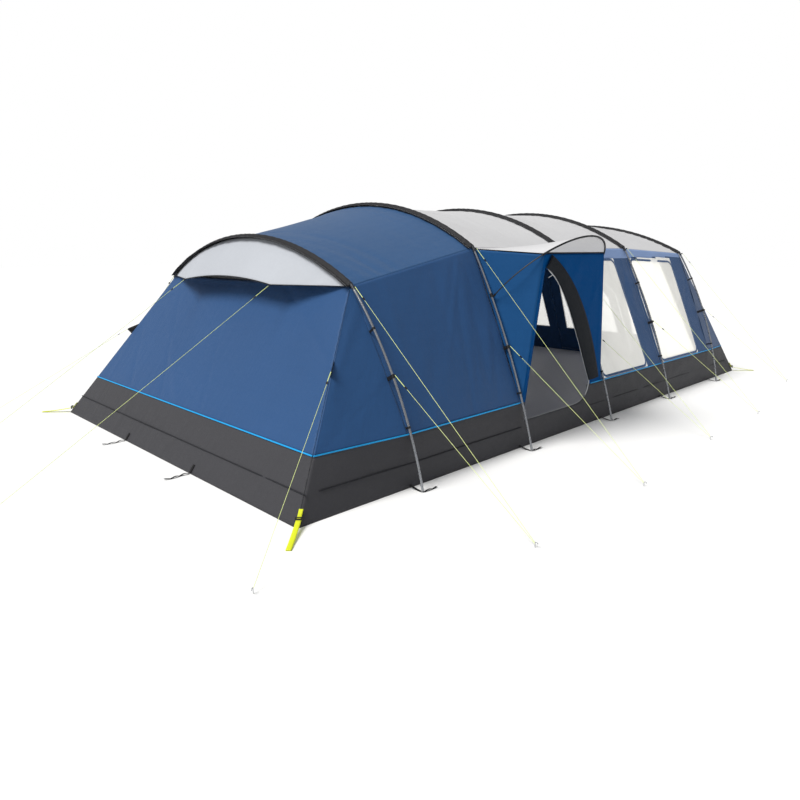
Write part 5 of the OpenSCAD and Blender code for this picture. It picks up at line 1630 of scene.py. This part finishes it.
def sewRuns(name, runs, sizes, material, body, tree):
    verts, edges, out = [], [], []
    for points, outWay in runs:
        first = len(verts)
        verts += [tuple(p) for p in points]
        out += [tuple(o) for o in np.broadcast_to(np.array(outWay, float), (len(points), 3))]
        edges += [(first + k, first + k + 1) for k in range(len(points) - 1)]
    data = bpy.data.meshes.new(name + "Lines")
    data.from_pydata(verts, edges, [])
    field = data.attributes.new("outWay", "FLOAT_VECTOR", "POINT")
    field.data.foreach_set("vector", np.array(out, float).ravel())
    lines = bpy.data.objects.new(name + "Lines", data)
    scene.collection.objects.link(lines)
    modifier = lines.modifiers.new("runs", "NODES")
    modifier.node_group = tree
    values = {**sizes, "Finish": finish[material]}
    for item in tree.interface.items_tree:
        if item.in_out == "INPUT" and item.name in values:
            modifier[item.identifier] = values[item.name]
    bpy.context.view_layer.update()
    mesh = bpy.data.meshes.new_from_object(lines.evaluated_get(bpy.context.evaluated_depsgraph_get()))
    lines.modifiers.remove(modifier)
    bpy.data.objects.remove(lines)
    made = bpy.data.objects.new(name, mesh)
    scene.collection.objects.link(made)
    dressed(made, body)


def runLength(points):
    return float(np.linalg.norm(np.diff(np.array(points), axis=0), axis=1).sum())


def makeSewing():
    tree = runTree()
    sizes = {"Pitch": sewing["pitch"], "Long": sewing["long"], "Wide": sewing["wide"], "Tall": sewing["tall"]}
    groups = {}
    for points, outWay, thread, body in seamRows:
        groups.setdefault((thread, body), []).append((points, outWay if outWay is not None else (0, 0, 1)))
    total = 0
    for (thread, body), runs in sorted(groups.items()):
        part, used, batch = 0, 0, []
        for run in [*runs, None]:
            count = runLength(run[0]) / sewing["pitch"] if run else 0
            if batch and (run is None or used + count > sewing["most"]):
                sewRuns(f"stitches_{thread}_{body}_{part}", batch, sizes, thread,
                        body, tree)
                part, used, batch = part + 1, 0, []
            if run:
                batch.append(run)
                used += count
                total += count
    teeth = {"Pitch": sewing["zipPitch"], "Long": sewing["zipLong"], "Wide": sewing["zipWide"],
             "Tall": sewing["zipTall"]}
    for n, (points, outWay, body) in enumerate(zipRows):
        sewRuns(f"zipTeeth{n}", [(points, outWay)], teeth, "zipSilver", body, tree)
    print("stitches:", int(total))


makeSewing()

# CAD nodes that keep their own shape
kept = {
    "brightSteel": ["foot_pins", "guy_pegs"],
    "legSteel": [f"legs_{k}" for k in range(1, 6)],
    "elbowSteel": ["elbow_ferrules"],
    "poleBlack": [f"bow_{k}" for k in range(1, 6)] + ["porch_pole"],
    "plasticBlack": ["pole_clips"],
}
for name, nodes in kept.items():
    for node in nodes:
        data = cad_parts[node].data
        data.materials.clear()
        data.materials.append(finish[name])
print("CAD nodes finished")

# floor and light
studio = {"floor": 0.9, "world": 0.38, "sun": 3.3, "sunFrom": (-0.55, 0.16, 0.82), "softness": 30}


def makeStudio():
    data = bpy.data.meshes.new("studioFloor")
    size = 60
    data.from_pydata([(-size, -size, 0), (size, -size, 0), (size, size, 0), (-size, size, 0)], [], [(0, 1, 2, 3)])
    floor = bpy.data.objects.new("studioFloor", data)
    scene.collection.objects.link(floor)
    make = Maker("studioFloor")
    spread = make.noise(make.place(), 0.4, 2.0)
    tint = studio["floor"]
    data.materials.append(make.finish({"Base Color": make.blend(spread, (tint, tint, tint, 1),
                                                                (tint * 1.02,) * 3 + (1,))},
                                      {"Roughness": 0.9, "Specular IOR Level": 0.1}))
    floor.location.z = -0.0005
    world = bpy.data.worlds.new("studioWorld")
    scene.world = world
    world.use_nodes = True
    tree = world.node_tree
    tree.nodes.clear()
    seen, lighting = tree.nodes.new("ShaderNodeBackground"), tree.nodes.new("ShaderNodeBackground")
    seen.inputs[0].default_value = (1, 1, 1, 1)
    lighting.inputs[0].default_value = (0.97, 0.985, 1, 1)
    lighting.inputs[1].default_value = studio["world"]
    path, both, out = (tree.nodes.new(kind) for kind in ("ShaderNodeLightPath", "ShaderNodeMixShader",
                                                         "ShaderNodeOutputWorld"))
    tree.links.new(path.outputs["Is Camera Ray"], both.inputs[0])
    tree.links.new(lighting.outputs[0], both.inputs[1])
    tree.links.new(seen.outputs[0], both.inputs[2])
    tree.links.new(both.outputs[0], out.inputs[0])
    light = bpy.data.lights.new("softSun", "SUN")
    light.energy = studio["sun"]
    light.angle = math.radians(studio["softness"])
    light.color = (1, 0.985, 0.96)
    sun = bpy.data.objects.new("softSun", light)
    sun.rotation_euler = Vector(studio["sunFrom"]).to_track_quat("Z", "Y").to_euler()
    scene.collection.objects.link(sun)
    scene.view_settings.view_transform = "Standard"


makeStudio()
print("studio made")
